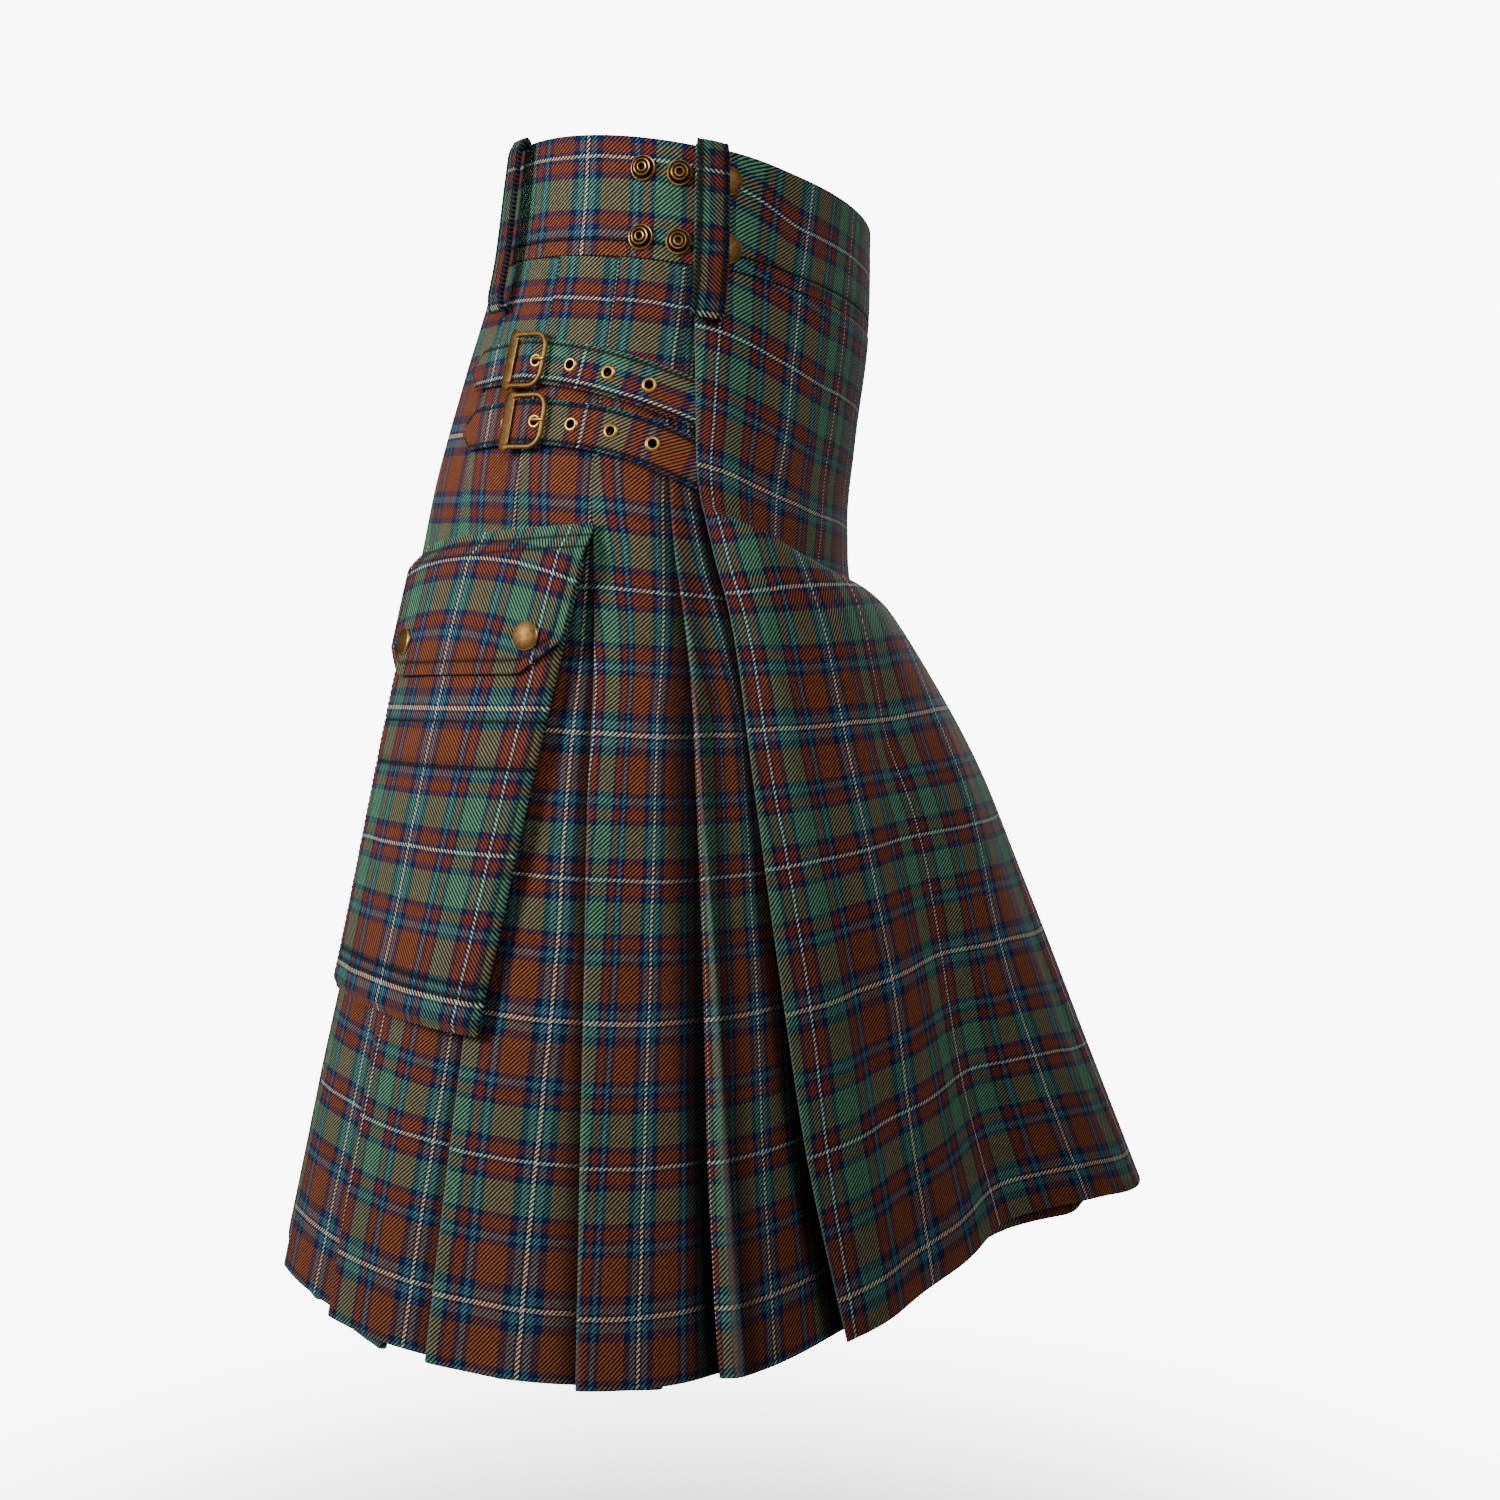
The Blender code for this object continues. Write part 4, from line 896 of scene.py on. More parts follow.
# ---------------------------------------------------------------- pleated back
# Soft bends on the pleats: angle, share, half width, half length, lean, height.
PLEAT_CREASES = [
    (83.0, 0.62, 5.0, 0.20, -6.0, -0.0016),
    (86.5, 0.90, 3.0, 0.12, 8.0, 0.0020),
    (65.0, 0.72, 5.0, 0.18, -5.0, 0.0018),
    (60.5, 0.95, 3.0, 0.10, 0.0, -0.0020),
    (47.0, 0.88, 4.5, 0.14, 4.0, 0.0020),
    (30.0, 0.80, 4.0, 0.20, 0.0, -0.0018),
    (12.0, 0.86, 4.5, 0.16, 6.0, 0.0022),
    (-9.0, 0.74, 5.0, 0.22, 0.0, -0.0018),
    (-26.0, 0.90, 4.0, 0.12, -5.0, 0.0022),
    (-45.0, 0.82, 5.0, 0.18, 0.0, -0.0016),
    (-63.0, 0.90, 4.0, 0.14, 5.0, 0.0020),
    (-82.0, 0.78, 4.5, 0.18, 0.0, 0.0016),
]


def layer_spacing(share):
    free = smooth_step(STITCHED_DOWN, 1.15, share)
    return LAYER_TOP + (LAYER_HEM - LAYER_TOP) * free


def fold_lean(fold, share):
    return (2.2 if fold == 0 else 0.25) * smooth_step(STITCHED_DOWN, 0.95, share)


def fold_spacing(fold, share):
    free = smooth_step(STITCHED_DOWN, 0.8, share)
    return layer_spacing(share) * (1.0 + (FOLD_OPENING[fold] - 1.0) * free)


def fold_wander(fold, share):
    """Degrees by which a swinging fold strays from its straight line: a slow wave that grows to the hem."""
    return 0.40 * np.sin(2 * np.pi * (0.9 * share + 0.37 * fold)) * smooth_step(0.36, 0.9, share)


def pleat_corners(share):
    """The folded line of the panel at every share, from its right end to its left: arrays [row, corner] of
    angle, rise, sett and how far that layer hangs below the others at the hem, with each corner's bend."""
    corners, bends = [], []

    def corner(angle, rise, sett, hang, bend, face=None):
        line = pleat_line(face, share)[0] if face is not None else angle
        rib = (angle - line) * metres_per_degree(line, share) if face is not None else 0.012
        corners.append(np.stack([value + 0.0 * share for value in (angle, rise, sett, hang, rib)], axis=-1))
        bends.append(bend + 0.0 * share)

    first = fold_spacing(0, share)
    for angle, drop in ((PANEL_END, -2.0), (HIP + 14.0, -1.3), (HIP + 7.0, -0.6)):
        corner(angle, drop * first, pleat_columns(0, share, angle), 0.0, 0.012, 0)
    for fold in range(PLEATS + 1):
        edge = HIP - fold * PLEAT_PITCH + fold_wander(fold, share)
        inner = edge + PLEAT_PITCH / 2
        spacing, lean = fold_spacing(fold, share), fold_lean(fold, share)
        own = pleat_columns(fold, share, edge) - 2.0 * fold
        strip = spacing / SETT_ACROSS + (0.40 * smooth_step(0.30, 0.85, share) if fold == 0 else 0.0)
        following = pleat_columns(fold + 1, share, edge - lean) - 2.0 * (fold + 1)
        turn = (own - strip + following) / 2
        low = 0.0085 if fold in (3, 4) else 0.003
        corner(edge, 0.0, own, 0.0, spacing * 0.42, fold)
        corner(edge - lean, -spacing, own - strip, 0.0, spacing * 0.42, fold)
        corner(inner, -1.75 * spacing, turn + 0.02, low, spacing * 0.40)
        corner(inner, -2.65 * spacing, turn - 0.02, low, spacing * 0.40)
        corner(edge - lean, -2.0 * spacing, following, 0.0, 0.006, fold + 1)
        if fold < PLEATS:
            after = fold_spacing(fold + 1, share)
            middle = edge - PLEAT_PITCH / 2
            corner(
                middle, -0.5 * spacing - 0.3 * after,
                pleat_columns(fold + 1, share, middle) - 2.0 * (fold + 1), 0.0, 0.012, fold + 1
            )
    last = fold_spacing(PLEATS, share)
    for angle in (-HIP - 7.0, -HIP - 15.0, -PANEL_END):
        corner(
            angle, -2.0 * last, pleat_columns(PLEATS + 1, share, angle) - 2.0 * (PLEATS + 1), 0.0, 0.012,
            PLEATS + 1
        )
    return np.stack(corners, axis=1), np.stack(bends, axis=1)


def rounded(points, bends, steps, between):
    """Bends every corner of lines [row, corner, value]: a square curve from just before the corner to just
    after it, drawn in to the corner, with evenly spaced points on the straight stretches over 9 mm."""
    stretch = np.diff(points, axis=1)
    size = np.maximum(np.linalg.norm(stretch[..., :2], axis=-1), 1e-7)
    cut = np.minimum(bends[:, 1:-1], 0.46 * np.minimum(size[:, :-1], size[:, 1:]))[..., None]
    ahead = stretch / size[..., None]
    start, end = points[:, 1:-1] - ahead[:, :-1] * cut, points[:, 1:-1] + ahead[:, 1:] * cut
    part = np.linspace(0.0, 1.0, steps)[None, None, :, None]
    bend = (
        (1 - part) ** 2 * start[:, :, None]
        + 2 * part * (1 - part) * points[:, 1:-1, None]
        + part**2 * end[:, :, None]
    )
    columns = [points[:, :1]]
    targets = [bend[:, number] for number in range(bend.shape[1])] + [points[:, -1:]]
    for number, target in enumerate(targets):
        from_here, to_there = columns[-1][:, -1:], target[:, :1]
        if size[:, number].max() > 0.009 and between:
            share = (np.arange(between) + 1.0)[None, :, None] / (between + 1.0)
            columns.append(from_here + (to_there - from_here) * share)
        columns.append(target)
    return np.concatenate(columns, axis=1)


def pleat_grids():
    share = fine_rows(TOP_SHARE, 1.0, 84, edge=0.0007)
    corners, bends = pleat_corners(share)
    corners[..., 1] -= tuck(corners[..., 0], share[:, None])
    even = metres_per_degree(corners[..., 0], share[:, None]).mean(axis=1)[:, None]
    corners[..., 0] *= -even
    line = rounded(corners, bends, 4, 3)
    angle = -line[..., 0] / even
    line[..., 1] += creases(PLEAT_CREASES, angle, share[:, None]) * smooth_step(0.36, 0.5, share)[:, None]
    scale = metres_per_degree(angle, share[:, None])
    thick = thinned(*angle.shape, CLOTH)
    hang = line[..., 3] * smooth_step(0.86, 1.0, share)[:, None]
    grids = []
    for side in both_sides(line[..., :2], thick):
        at = angle - (side[..., 0] - line[..., 0]) / scale
        grids.append(on_surface(at, share[:, None] + hang, side[..., 1]))
    sett = np.stack([line[..., 2], rows_of(PLEAT_ROWS, share)[:, None] + 0.0 * angle], axis=-1)
    weave = np.stack([line[..., 4], share[:, None] * LENGTH + 0.0 * angle], axis=-1)
    return grids, sett, weave, fold_marks(line, share[:, None], even)


def fold_marks(line, share, even):
    """Where the pleats are pale and where they are dark: a narrow bell round each fold's edge, which is pale
    where the fold swings free, as wear with a painted highlight, and dark where it is sewn down, and a wide
    bell of painted shade round the foot of the cloth that comes out from under it, on the side that lies
    lower than the fold. The first fold stands in the apron's shade, which is painted on a strip along it,
    and the apron's edge casts a painted shadow on the pleats beside it."""
    worn, deep = 0.0 * line[..., 0], 0.0 * line[..., 0]
    for fold in range(PLEATS + 1):
        edge = HIP - fold * PLEAT_PITCH + fold_wander(fold, share)
        spacing, lean = fold_spacing(fold, share), fold_lean(fold, share)
        free = smooth_step(0.10, 0.55, share)
        beside, foot = line[..., 0] + edge * even, line[..., 0] + (edge - lean) * even
        bell = np.clip(1.0 - np.hypot(beside, line[..., 1]) / (0.40 * spacing), 0.0, 1.0)
        sewn = smooth_step(0.36, 0.24, share)
        # wear with a painted highlight along the edge of each fold where it swings free
        worn = np.maximum(worn, bell * (1.0 - sewn))
        width = 0.0028 + (0.0165 if fold == 0 else 0.0062) * free
        # painted shade round the foot of the cloth that comes out from under each fold
        under = smooth_step(-1.1 * spacing, -1.6 * spacing, line[..., 1])
        deep = np.maximum(deep, np.exp(-((foot / width) ** 2)) * under * (0.6 + 0.4 * free))
        deep = np.maximum(deep, 1.6 * bell * sewn)
        # painted shade of the apron on a strip along the first fold
        if fold == 0:
            shade = smooth_step(-0.017, -0.007, beside) * smooth_step(-0.0006, -0.002, beside)
            deep = np.maximum(deep, 0.72 * free * shade)
    # painted shadow of the apron's edge on the pleats beside it
    apron = line[..., 0] + apron_edge(share) * even
    deep = np.maximum(deep, 0.9 * smooth_step(0.007, -0.001, apron) * smooth_step(-0.030, -0.010, apron))
    return {"worn": worn, "deep": deep}


class KILT_OT_pleats(bpy.types.Operator):
    """Ten knife pleats round the back, stitched down to the hips and swinging free below"""

    bl_idname = "kilt.pleats"
    bl_label = "Pleated back"

    def execute(self, context):
        (outer, inner), sett, weave, marks = pleat_grids()
        piece = cloth_wall(
            "pleats_woven", outer, inner, sett, finishes()["kilt_tartan"], weave=weave, **marks
        )
        on_root(piece, "pleated_back")
        width, length, area = cut_of(outer)
        return {"FINISHED"}


def weave_from(outer, sett):
    """Metres across the cloth along each row, counted from where the sett is 2, and metres down it."""
    run = np.concatenate(
        [np.zeros((len(outer), 1)), np.cumsum(np.linalg.norm(np.diff(outer, axis=1), axis=-1), axis=1)],
        axis=1
    )
    nearest = np.abs(sett[..., 0] - 2.0).argmin(axis=1)[:, None]
    start, close = (np.take_along_axis(values, nearest, axis=1) for values in (run, sett[..., 0]))
    return np.stack([run - start + (close - 2.0) * SETT_ACROSS, sett[..., 1] * SETT_DOWN], axis=-1)


def cut_of(outer):
    """The flat size of a wall's cloth: its widest row, its longest column, and the sum of its faces'
    areas."""
    width = np.linalg.norm(np.diff(outer, axis=1), axis=-1).sum(axis=1).max()
    length = np.linalg.norm(np.diff(outer, axis=0), axis=-1).sum(axis=0).max()
    a, b, c, d = outer[:-1, :-1], outer[:-1, 1:], outer[1:, 1:], outer[1:, :-1]
    area = (
        np.linalg.norm(np.cross(b - a, d - a), axis=-1) + np.linalg.norm(np.cross(b - c, d - c), axis=-1)
    ).sum() / 2
    return float(width), float(length), float(min(area, width * length))


def sewn_sheet(piece, node, outer, sewing):
    on_root(piece, node)
    on_root(sewing)
    width, length, area = cut_of(outer)


# ---------------------------------------------------------------- aprons
# Soft bends of the over apron: angle, share, half width, half length, lean, height.
APRON_CREASES = [
    (108.0, 0.50, 2.6, 0.10, 10.0, 0.0022),
    (113.0, 0.44, 2.2, 0.06, 40.0, -0.0020),
    (112.0, 0.74, 2.4, 0.16, 4.0, -0.0026),
    (122.0, 0.52, 3.0, 0.10, -22.0, 0.0022),
    (133.0, 0.50, 3.5, 0.08, -60.0, -0.0026),
    (150.0, 0.56, 5.0, 0.10, -30.0, 0.0026),
    (135.0, 0.82, 3.2, 0.16, -6.0, 0.0026),
    (158.0, 0.80, 5.0, 0.20, -6.0, -0.0030),
    (112.0, 0.24, 3.0, 0.05, 60.0, -0.0012),
    (128.0, 0.27, 4.0, 0.04, 90.0, 0.0012),
    (142.0, 0.22, 5.0, 0.05, 60.0, -0.0012),
    (192.0, 0.62, 6.0, 0.20, 6.0, 0.0024),
    (212.0, 0.52, 4.0, 0.10, 40.0, -0.0024),
    (228.0, 0.46, 3.5, 0.08, -40.0, 0.0020),
    (226.0, 0.80, 3.6, 0.18, 6.0, -0.0026),
    (240.0, 0.62, 3.0, 0.14, 8.0, 0.0020),
    (251.0, 0.85, 2.6, 0.14, -4.0, 0.0022),
    (222.0, 0.26, 5.0, 0.04, -80.0, -0.0012),
]


def over_apron_grids():
    """Columns run from edge to edge. Down each, the crease's rows are drawn apart into a recess and a lip by
    the same amounts as on the solid, and a smooth curve runs through them."""
    part = np.concatenate([[0.0, 0.0016], np.linspace(0.008, 0.992, 150), [0.9984, 1.0]])
    plain, lifted = CREASE_ROWS[:, :1] / LENGTH, CREASE_ROWS[:, 1:2] / LENGTH
    stand = CREASE_ROWS[:, 2:]
    edge = apron_edge(0.31)
    crease = crease_share(edge + (360.0 - 2 * edge) * part)[None, :]
    first, last = crease + plain[0], crease + plain[-1]
    above = TOP_SHARE + (first - TOP_SHARE) * np.array([[0.0], [0.33], [0.66]])
    below = last + (1.0 - last) * np.array([[0.15], [0.32], [0.49], [0.66], [0.83], [1.0]])
    share = np.concatenate([above, crease + plain, below])
    edges = apron_edge(share)
    angle = edges + (360.0 - 2 * edges) * part
    near = (90.0 - np.abs(angle - 180.0))[3:-6]
    centre = 1.0 - 0.55 * smooth_step(50.0, 85.0, near)
    reach = centre * smooth_step(4.0, 25.0, near)
    sink = centre * smooth_step(14.0, 34.0, near)
    down, extra = share.copy(), 0.0 * share
    down[3:-6] += reach * (lifted - plain)
    extra[3:-6] = np.where(stand > 0.0, reach, sink) * stand
    dense = through_rows(np.stack([share, down, extra], axis=-1), 6)
    dense = np.concatenate([dense[:1], dense[:1] * 0.93 + dense[1:2] * 0.07, dense[1:-1],
                            dense[-2:-1] * 0.07 + dense[-1:] * 0.93, dense[-1:]])
    share, down, extra = dense[..., 0], dense[..., 1], dense[..., 2]
    edges = apron_edge(share)
    angle = edges + (360.0 - 2 * edges) * part
    hold = smooth_step(0.0, 6.0, 88.0 - np.abs(angle - 180.0))
    hold = hold * smooth_step(BAND_SHARE, BAND_SHARE + 0.05, share)
    rise = apron_rise(angle, share) + extra + creases(APRON_CREASES, angle, share) * hold
    flat = np.stack([down * LENGTH, rise], axis=-1).transpose(1, 0, 2)
    thick = thinned(*angle.shape, CLOTH).T
    grids = []
    for side in both_sides(flat, thick):
        side = side.transpose(1, 0, 2)
        grids.append(on_surface(angle, side[..., 0] / LENGTH, side[..., 1]))
    if (grids[0] - grids[1])[60, 40] @ outward(angle[60, 40], share[60, 40]) < 0:
        grids = grids[::-1]
    return grids, np.stack([apron_columns(share, angle), apron_rows(share, angle)], axis=-1)


def under_apron_grids():
    """It follows the right end of the pleated panel's inmost layer and then sinks to its own depth."""
    share = fine_rows(TOP_SHARE, 1.0, 84, edge=0.0007)[:, None]
    angle = np.concatenate(
        [[PANEL_END + 0.30, PANEL_END + 0.45], np.linspace(PANEL_END + 1.5, 260.0, 88), [260.85, 261.0]]
    )[None, :]
    first, last = fold_spacing(0, share), fold_spacing(PLEATS, share)
    drop, home = smooth_step(PANEL_END, 138.0, angle), smooth_step(180.0, 235.0, angle)
    inside = -2.0 * layer_spacing(share) - 0.0026
    deep = inside + (-2.0 * last - 0.0042 - inside) * home
    rise = -2.0 * first + (deep + 2.0 * first) * drop - tuck(angle, share)
    low = 0.016 * smooth_step(0.90, 1.0, share)
    low = low * smooth_step(118.0, 124.0, angle) * smooth_step(150.0, 138.0, angle)
    thick = thinned(share.size, angle.size, CLOTH)
    grids = [on_surface(angle, share + low, rise + sign * thick / 2) for sign in (1, -1)]
    columns = (angle - PANEL_END) / UNDER_SCALE + 0.4
    return grids, np.stack(np.broadcast_arrays(columns, apron_rows(share, angle)), axis=-1)


class KILT_OT_aprons(bpy.types.Operator):
    """The over apron with its crease and folds, and the under apron inside it"""

    bl_idname = "kilt.aprons"
    bl_label = "Aprons"

    def execute(self, context):
        cloth = finishes()
        for name, grids, finish, node, rests in (
            ("apron_woven_over", over_apron_grids, "kilt_tartan", "over_apron", "waistband_woven_over"),
            (
                "apron_woven_under", under_apron_grids, "kilt_tartan_under", "under_apron",
                "waistband_woven_under"
            ),
        ):
            (outer, inner), sett = grids()
            # wear with a painted highlight along the apron's two side edges
            worn = np.zeros(outer.shape[1])
            worn[[0, -1]] = 1.0
            piece = cloth_wall(
                name, outer, inner, sett, cloth[finish], weave=weave_from(outer, sett), worn=worn
            )
            on_root(piece, node)
            width, length, area = cut_of(outer)
        return {"FINISHED"}


# ---------------------------------------------------------------- waistband and belt loops
BAND_STITCH = BAND_HEIGHT - 0.0088     # a sewn line this far down the band


def over_band_rise(angle, _share):
    from_hip = 90.0 - np.abs(angle - 180.0)
    lifted = 0.0006 + BAND_CLOTH / 2
    return BAND_MIDDLE + (lifted - BAND_MIDDLE) * (1.0 - smooth_step(15.0, 36.0, from_hip))


def back_band_rise(angle, _share):
    return 0.0 * angle + BAND_MIDDLE


def under_band_rise(angle, _share):
    return BAND_MIDDLE - 0.0034 * smooth_step(BACK_BAND_END, BACK_BAND_END + 18.0, angle)


def back_band_columns(share, angle):
    """Metres along the band from its cream line, over half a repeat."""
    return (angle - BACK_BAND_CREAM) * metres_per_degree(75.0, 0.05) / BACK_BAND_SETT + 0.0 * share


def over_band_columns(share, angle):
    """The apron's own columns, leaning a little more over the height of the band."""
    own = 180.0 - np.abs(angle - 180.0)
    lean = BAND_SLANT * (BAND_SHARE - share) / BAND_SHARE
    lean = lean * smooth_step(100.0, 120.0, own) * smooth_step(178.0, 150.0, own)
    return apron_columns(0.10 + 0.0 * share, angle - np.where(angle > 180.0, -lean, lean))


def under_band_columns(share, angle):
    return (angle - BACK_BAND_END) / UNDER_BAND_SCALE + 0.0 * share


def band(name, start, end, rise_at, columns_at, lines, node, finish, dip=0.0):
    """One run of the waistband: a double wall, plump between its seams and pinched along each sewn line."""
    down = fine_rows(0.0, BAND_HEIGHT, 16, special=lines)
    angle = np.concatenate(
        [[start, start + 0.18], np.linspace(start + 0.9, end - 0.9, 190), [end - 0.18, end]]
    )
    share = (down / LENGTH)[:, None]
    angle = angle[None, :]
    pinch = groove(down, lines)[:, None]
    thick = thinned(down.size, angle.size, BAND_CLOTH) - 0.0007 * pinch
    ripple = 0.0002 * np.sin(np.radians(angle) * 23.0) * np.sin(np.pi * down / BAND_HEIGHT)[:, None]
    rise = rise_at(angle, share) + ripple
    outer, inner = (on_surface(angle, share, rise + sign * thick / 2) for sign in (1, -1))
    sett = np.stack(np.broadcast_arrays(columns_at(share, angle), band_rows(share, angle, dip)), axis=-1)
    cloth = finishes()
    piece = cloth_wall(name, outer, inner, sett, cloth[finish], pinch)
    threads = []
    for number, line in enumerate(lines):
        at = np.linspace(start + 0.4, end - 0.4, 400)
        level = line / LENGTH
        points = on_surface(at, level, rise_at(at, level) + BAND_CLOTH / 2 - 0.0003)
        threads.append(
            stitches(f"{name}_stitch_{number}", points, outward(at, level), cloth["seam_thread"])
        )
    sewn_sheet(piece, node, outer, joined(f"{name}_stitching", threads))


class KILT_OT_waistband(bpy.types.Operator):
    """The waistband over the pleats, over the over apron and over the under apron"""

    bl_idname = "kilt.waistband"
    bl_label = "Waistband"

    def execute(self, context):
        lines = (BAND_STITCH,)
        band(
            "waistband_woven_back", -BACK_BAND_END, BACK_BAND_END, back_band_rise, back_band_columns, lines,
            "waistband_back", "kilt_tartan"
        )
        band(
            "waistband_woven_over", OVER_BAND_EDGE, 360.0 - OVER_BAND_EDGE, over_band_rise,
            over_band_columns, lines, "waistband_over", "kilt_tartan", BAND_DIP
        )
        band(
            "waistband_woven_under", BACK_BAND_END + 0.15, UNDER_BAND_END, under_band_rise,
            under_band_columns, lines, "waistband_under", "kilt_tartan_under"
        )
        return {"FINISHED"}


def belt_loop(name, angle, base_rise, node):
    """A strip carried along a bent line of distances down the band and off it, turned in at head and foot."""
    degree = float(metres_per_degree(angle, 0.05))
    reach = LOOP_LENGTH / LENGTH
    line = np.array([
        (0.006, 0.0002),
        (-0.001, LOOP_STAND * 0.55),
        (0.010, LOOP_STAND),
        (reach * 0.45, LOOP_STAND + 0.0012),
        (reach - 0.012, LOOP_STAND),
        (reach, LOOP_STAND * 0.55),
        (reach - 0.005, 0.0002),
    ])
    line[:, 0] *= LENGTH
    bends = np.array([[0.0, 0.0024, 0.0030, 0.0200, 0.0030, 0.0024, 0.0]])
    flat = rounded(line[None], bends, 7, 8)[0]
    run = np.concatenate([[0.0], np.cumsum(np.linalg.norm(np.diff(flat, axis=0), axis=1))])
    half = LOOP_WIDTH / 2
    seams = (-half + LOOP_SEAM, half - LOOP_SEAM)
    across = fine_rows(-half, half, 9, special=seams, beside=0.0008, edge=0.0003)
    pinch = groove(across, seams, 0.0011)[None, :]
    thick = thinned(flat.shape[0], across.size, LOOP_CLOTH) - 0.0006 * pinch
    base = base_rise + LOOP_CLOTH / 2 + SEAM_GAP
    sides = []
    for sign in (1, -1):
        outwards = (both_sides(flat, 2.0)[0] - flat)[:, None, :]
        moved = flat[:, None, :] + outwards * (sign * thick / 2)[..., None]
        share = moved[..., 0] / LENGTH
        inside = np.clip(share, 0.0, 1.0)
        at = on_surface(angle + across[None, :] / degree, inside, base + moved[..., 1])
        at[..., 2] += (inside - share) * LENGTH
        sides.append(at)
    if (sides[0] - sides[1])[len(flat) // 2, 4] @ outward(np.array(angle), 0.05) < 0:
        sides = sides[::-1]
    turn = 1 if angle < 180 else -1
    beside = LOOP_SETT - turn * across[None, :] / SETT_ACROSS
    below = 1.0 + (run[:, None] - 0.022) / SETT_DOWN
    sett = np.stack(np.broadcast_arrays(beside, below), axis=-1)
    cloth = finishes()
    # painted shade along the loop's rolled edges, carried by the deep mark
    rolled = 0.70 * smooth_step(0.0034, 0.0004, half - np.abs(across))
    piece = cloth_wall(name, sides[0], sides[1], sett, cloth["kilt_tartan_under"], pinch, deep=rolled)
    threads = []
    for number, seam in enumerate(seams):
        column = int(np.argmin(np.abs(across - seam)))
        out = sides[0][:, column] - sides[1][:, column]
        middle = slice(6, len(flat) - 6)
        threads.append(
            stitches(
                f"{name}_stitch_{number}", sides[0][middle, column], out[middle], cloth["seam_thread"],
                length=0.0022, gap=0.0008
            )
        )
    sewn_sheet(piece, node, sides[0], joined(f"{name}_stitching", threads))


class KILT_OT_belt_loops(bpy.types.Operator):
    """A belt loop at each hip and two at the back"""

    bl_idname = "kilt.belt_loops"
    bl_label = "Belt loops"

    def execute(self, context):
        over_face = float(over_band_rise(np.array(SIDE_LOOP), 0.05)) + BAND_CLOTH / 2
        for side, label in SIDES:
            belt_loop(
                f"loop_woven_side_{label}", mirrored(side, SIDE_LOOP), over_face + 0.0012,
                f"belt_loop_side_{label}"
            )
            belt_loop(
                f"loop_woven_back_{label}", side * BACK_LOOP, CLOTH / 2, f"belt_loop_back_{label}"
            )
        return {"FINISHED"}


# ---------------------------------------------------------------- hip straps, eyelets and buckles
BUCKLE_AT = FIRST_EYELET + PRONG_EYELET * EYELET_PITCH + EYELET_TO_BAR
EYELET_PLACES = [FIRST_EYELET + i * EYELET_PITCH for i in range(EYELETS)]


class StrapLine:
    """The middle line of one hip strap, with its own directions: along it, across it and out of it."""

    def __init__(self, side, line):
        self.side = side
        self.line = np.array(line)
        self.angles = np.linspace(self.line[0, 0], self.line[-1, 0], 400)
        points = bare_surface(self.here(self.angles), self.share(self.angles))
        steps = np.linalg.norm(np.diff(points, axis=0), axis=1)
        self.run = np.concatenate([[0.0], np.cumsum(steps)])

    def here(self, angle):
        return angle if self.side > 0 else 360.0 - angle

    def share(self, angle):
        return curve_through(-self.line[:, 0], self.line[:, 1], -np.asarray(angle))

    def rise(self, along):
        """Low on the pleats, with a bell-shaped climb over the bar and the foot of the prong."""
        return STRAP_RISE + STRAP_CLIMB * np.exp(-(((along - BUCKLE_AT + 0.003) / 0.010) ** 2))

    def at(self, along, across, out):
        """The point at metres along from the root, across it upwards, and out from the pleats."""
        along, across, out = np.broadcast_arrays(*(np.asarray(v, float) for v in (along, across, out)))
        angle = np.interp(along, self.run, self.angles)
        share = self.share(angle)
        normal = outward(self.here(angle), share)
        later, sooner = angle - 0.4, angle + 0.4
        ahead = bare_surface(self.here(later), self.share(later))
        ahead = ahead - bare_surface(self.here(sooner), self.share(sooner))
        ahead /= np.linalg.norm(ahead, axis=-1, keepdims=True)
        up = np.cross(normal, ahead) * -self.side
        start = bare_surface(self.here(angle), share)
        return start + normal * out[..., None] + up * across[..., None]

    def frame(self, along, rise, tilt=0.0):
        """A placing matrix there: X along the strap to its tip, tilted by rise over run, and Z out of it."""
        origin, ahead, out = (
            Vector(self.at(along + step, 0.0, rise + lift))
            for step, lift in ((0.0, 0.0), (0.002, tilt * 0.002), (0.0, 0.002))
        )
        ahead, out = (ahead - origin).normalized(), out - origin
        return frame_at(origin, ahead, out - ahead * out.dot(ahead))

    def seat(self, place):
        """The placing matrix of an eyelet: on the middle of the strap and tilted with it."""
        slope = (self.rise(place + 0.001) - self.rise(place - 0.001)) / 0.002
        return self.frame(place, float(self.rise(place)), float(slope))


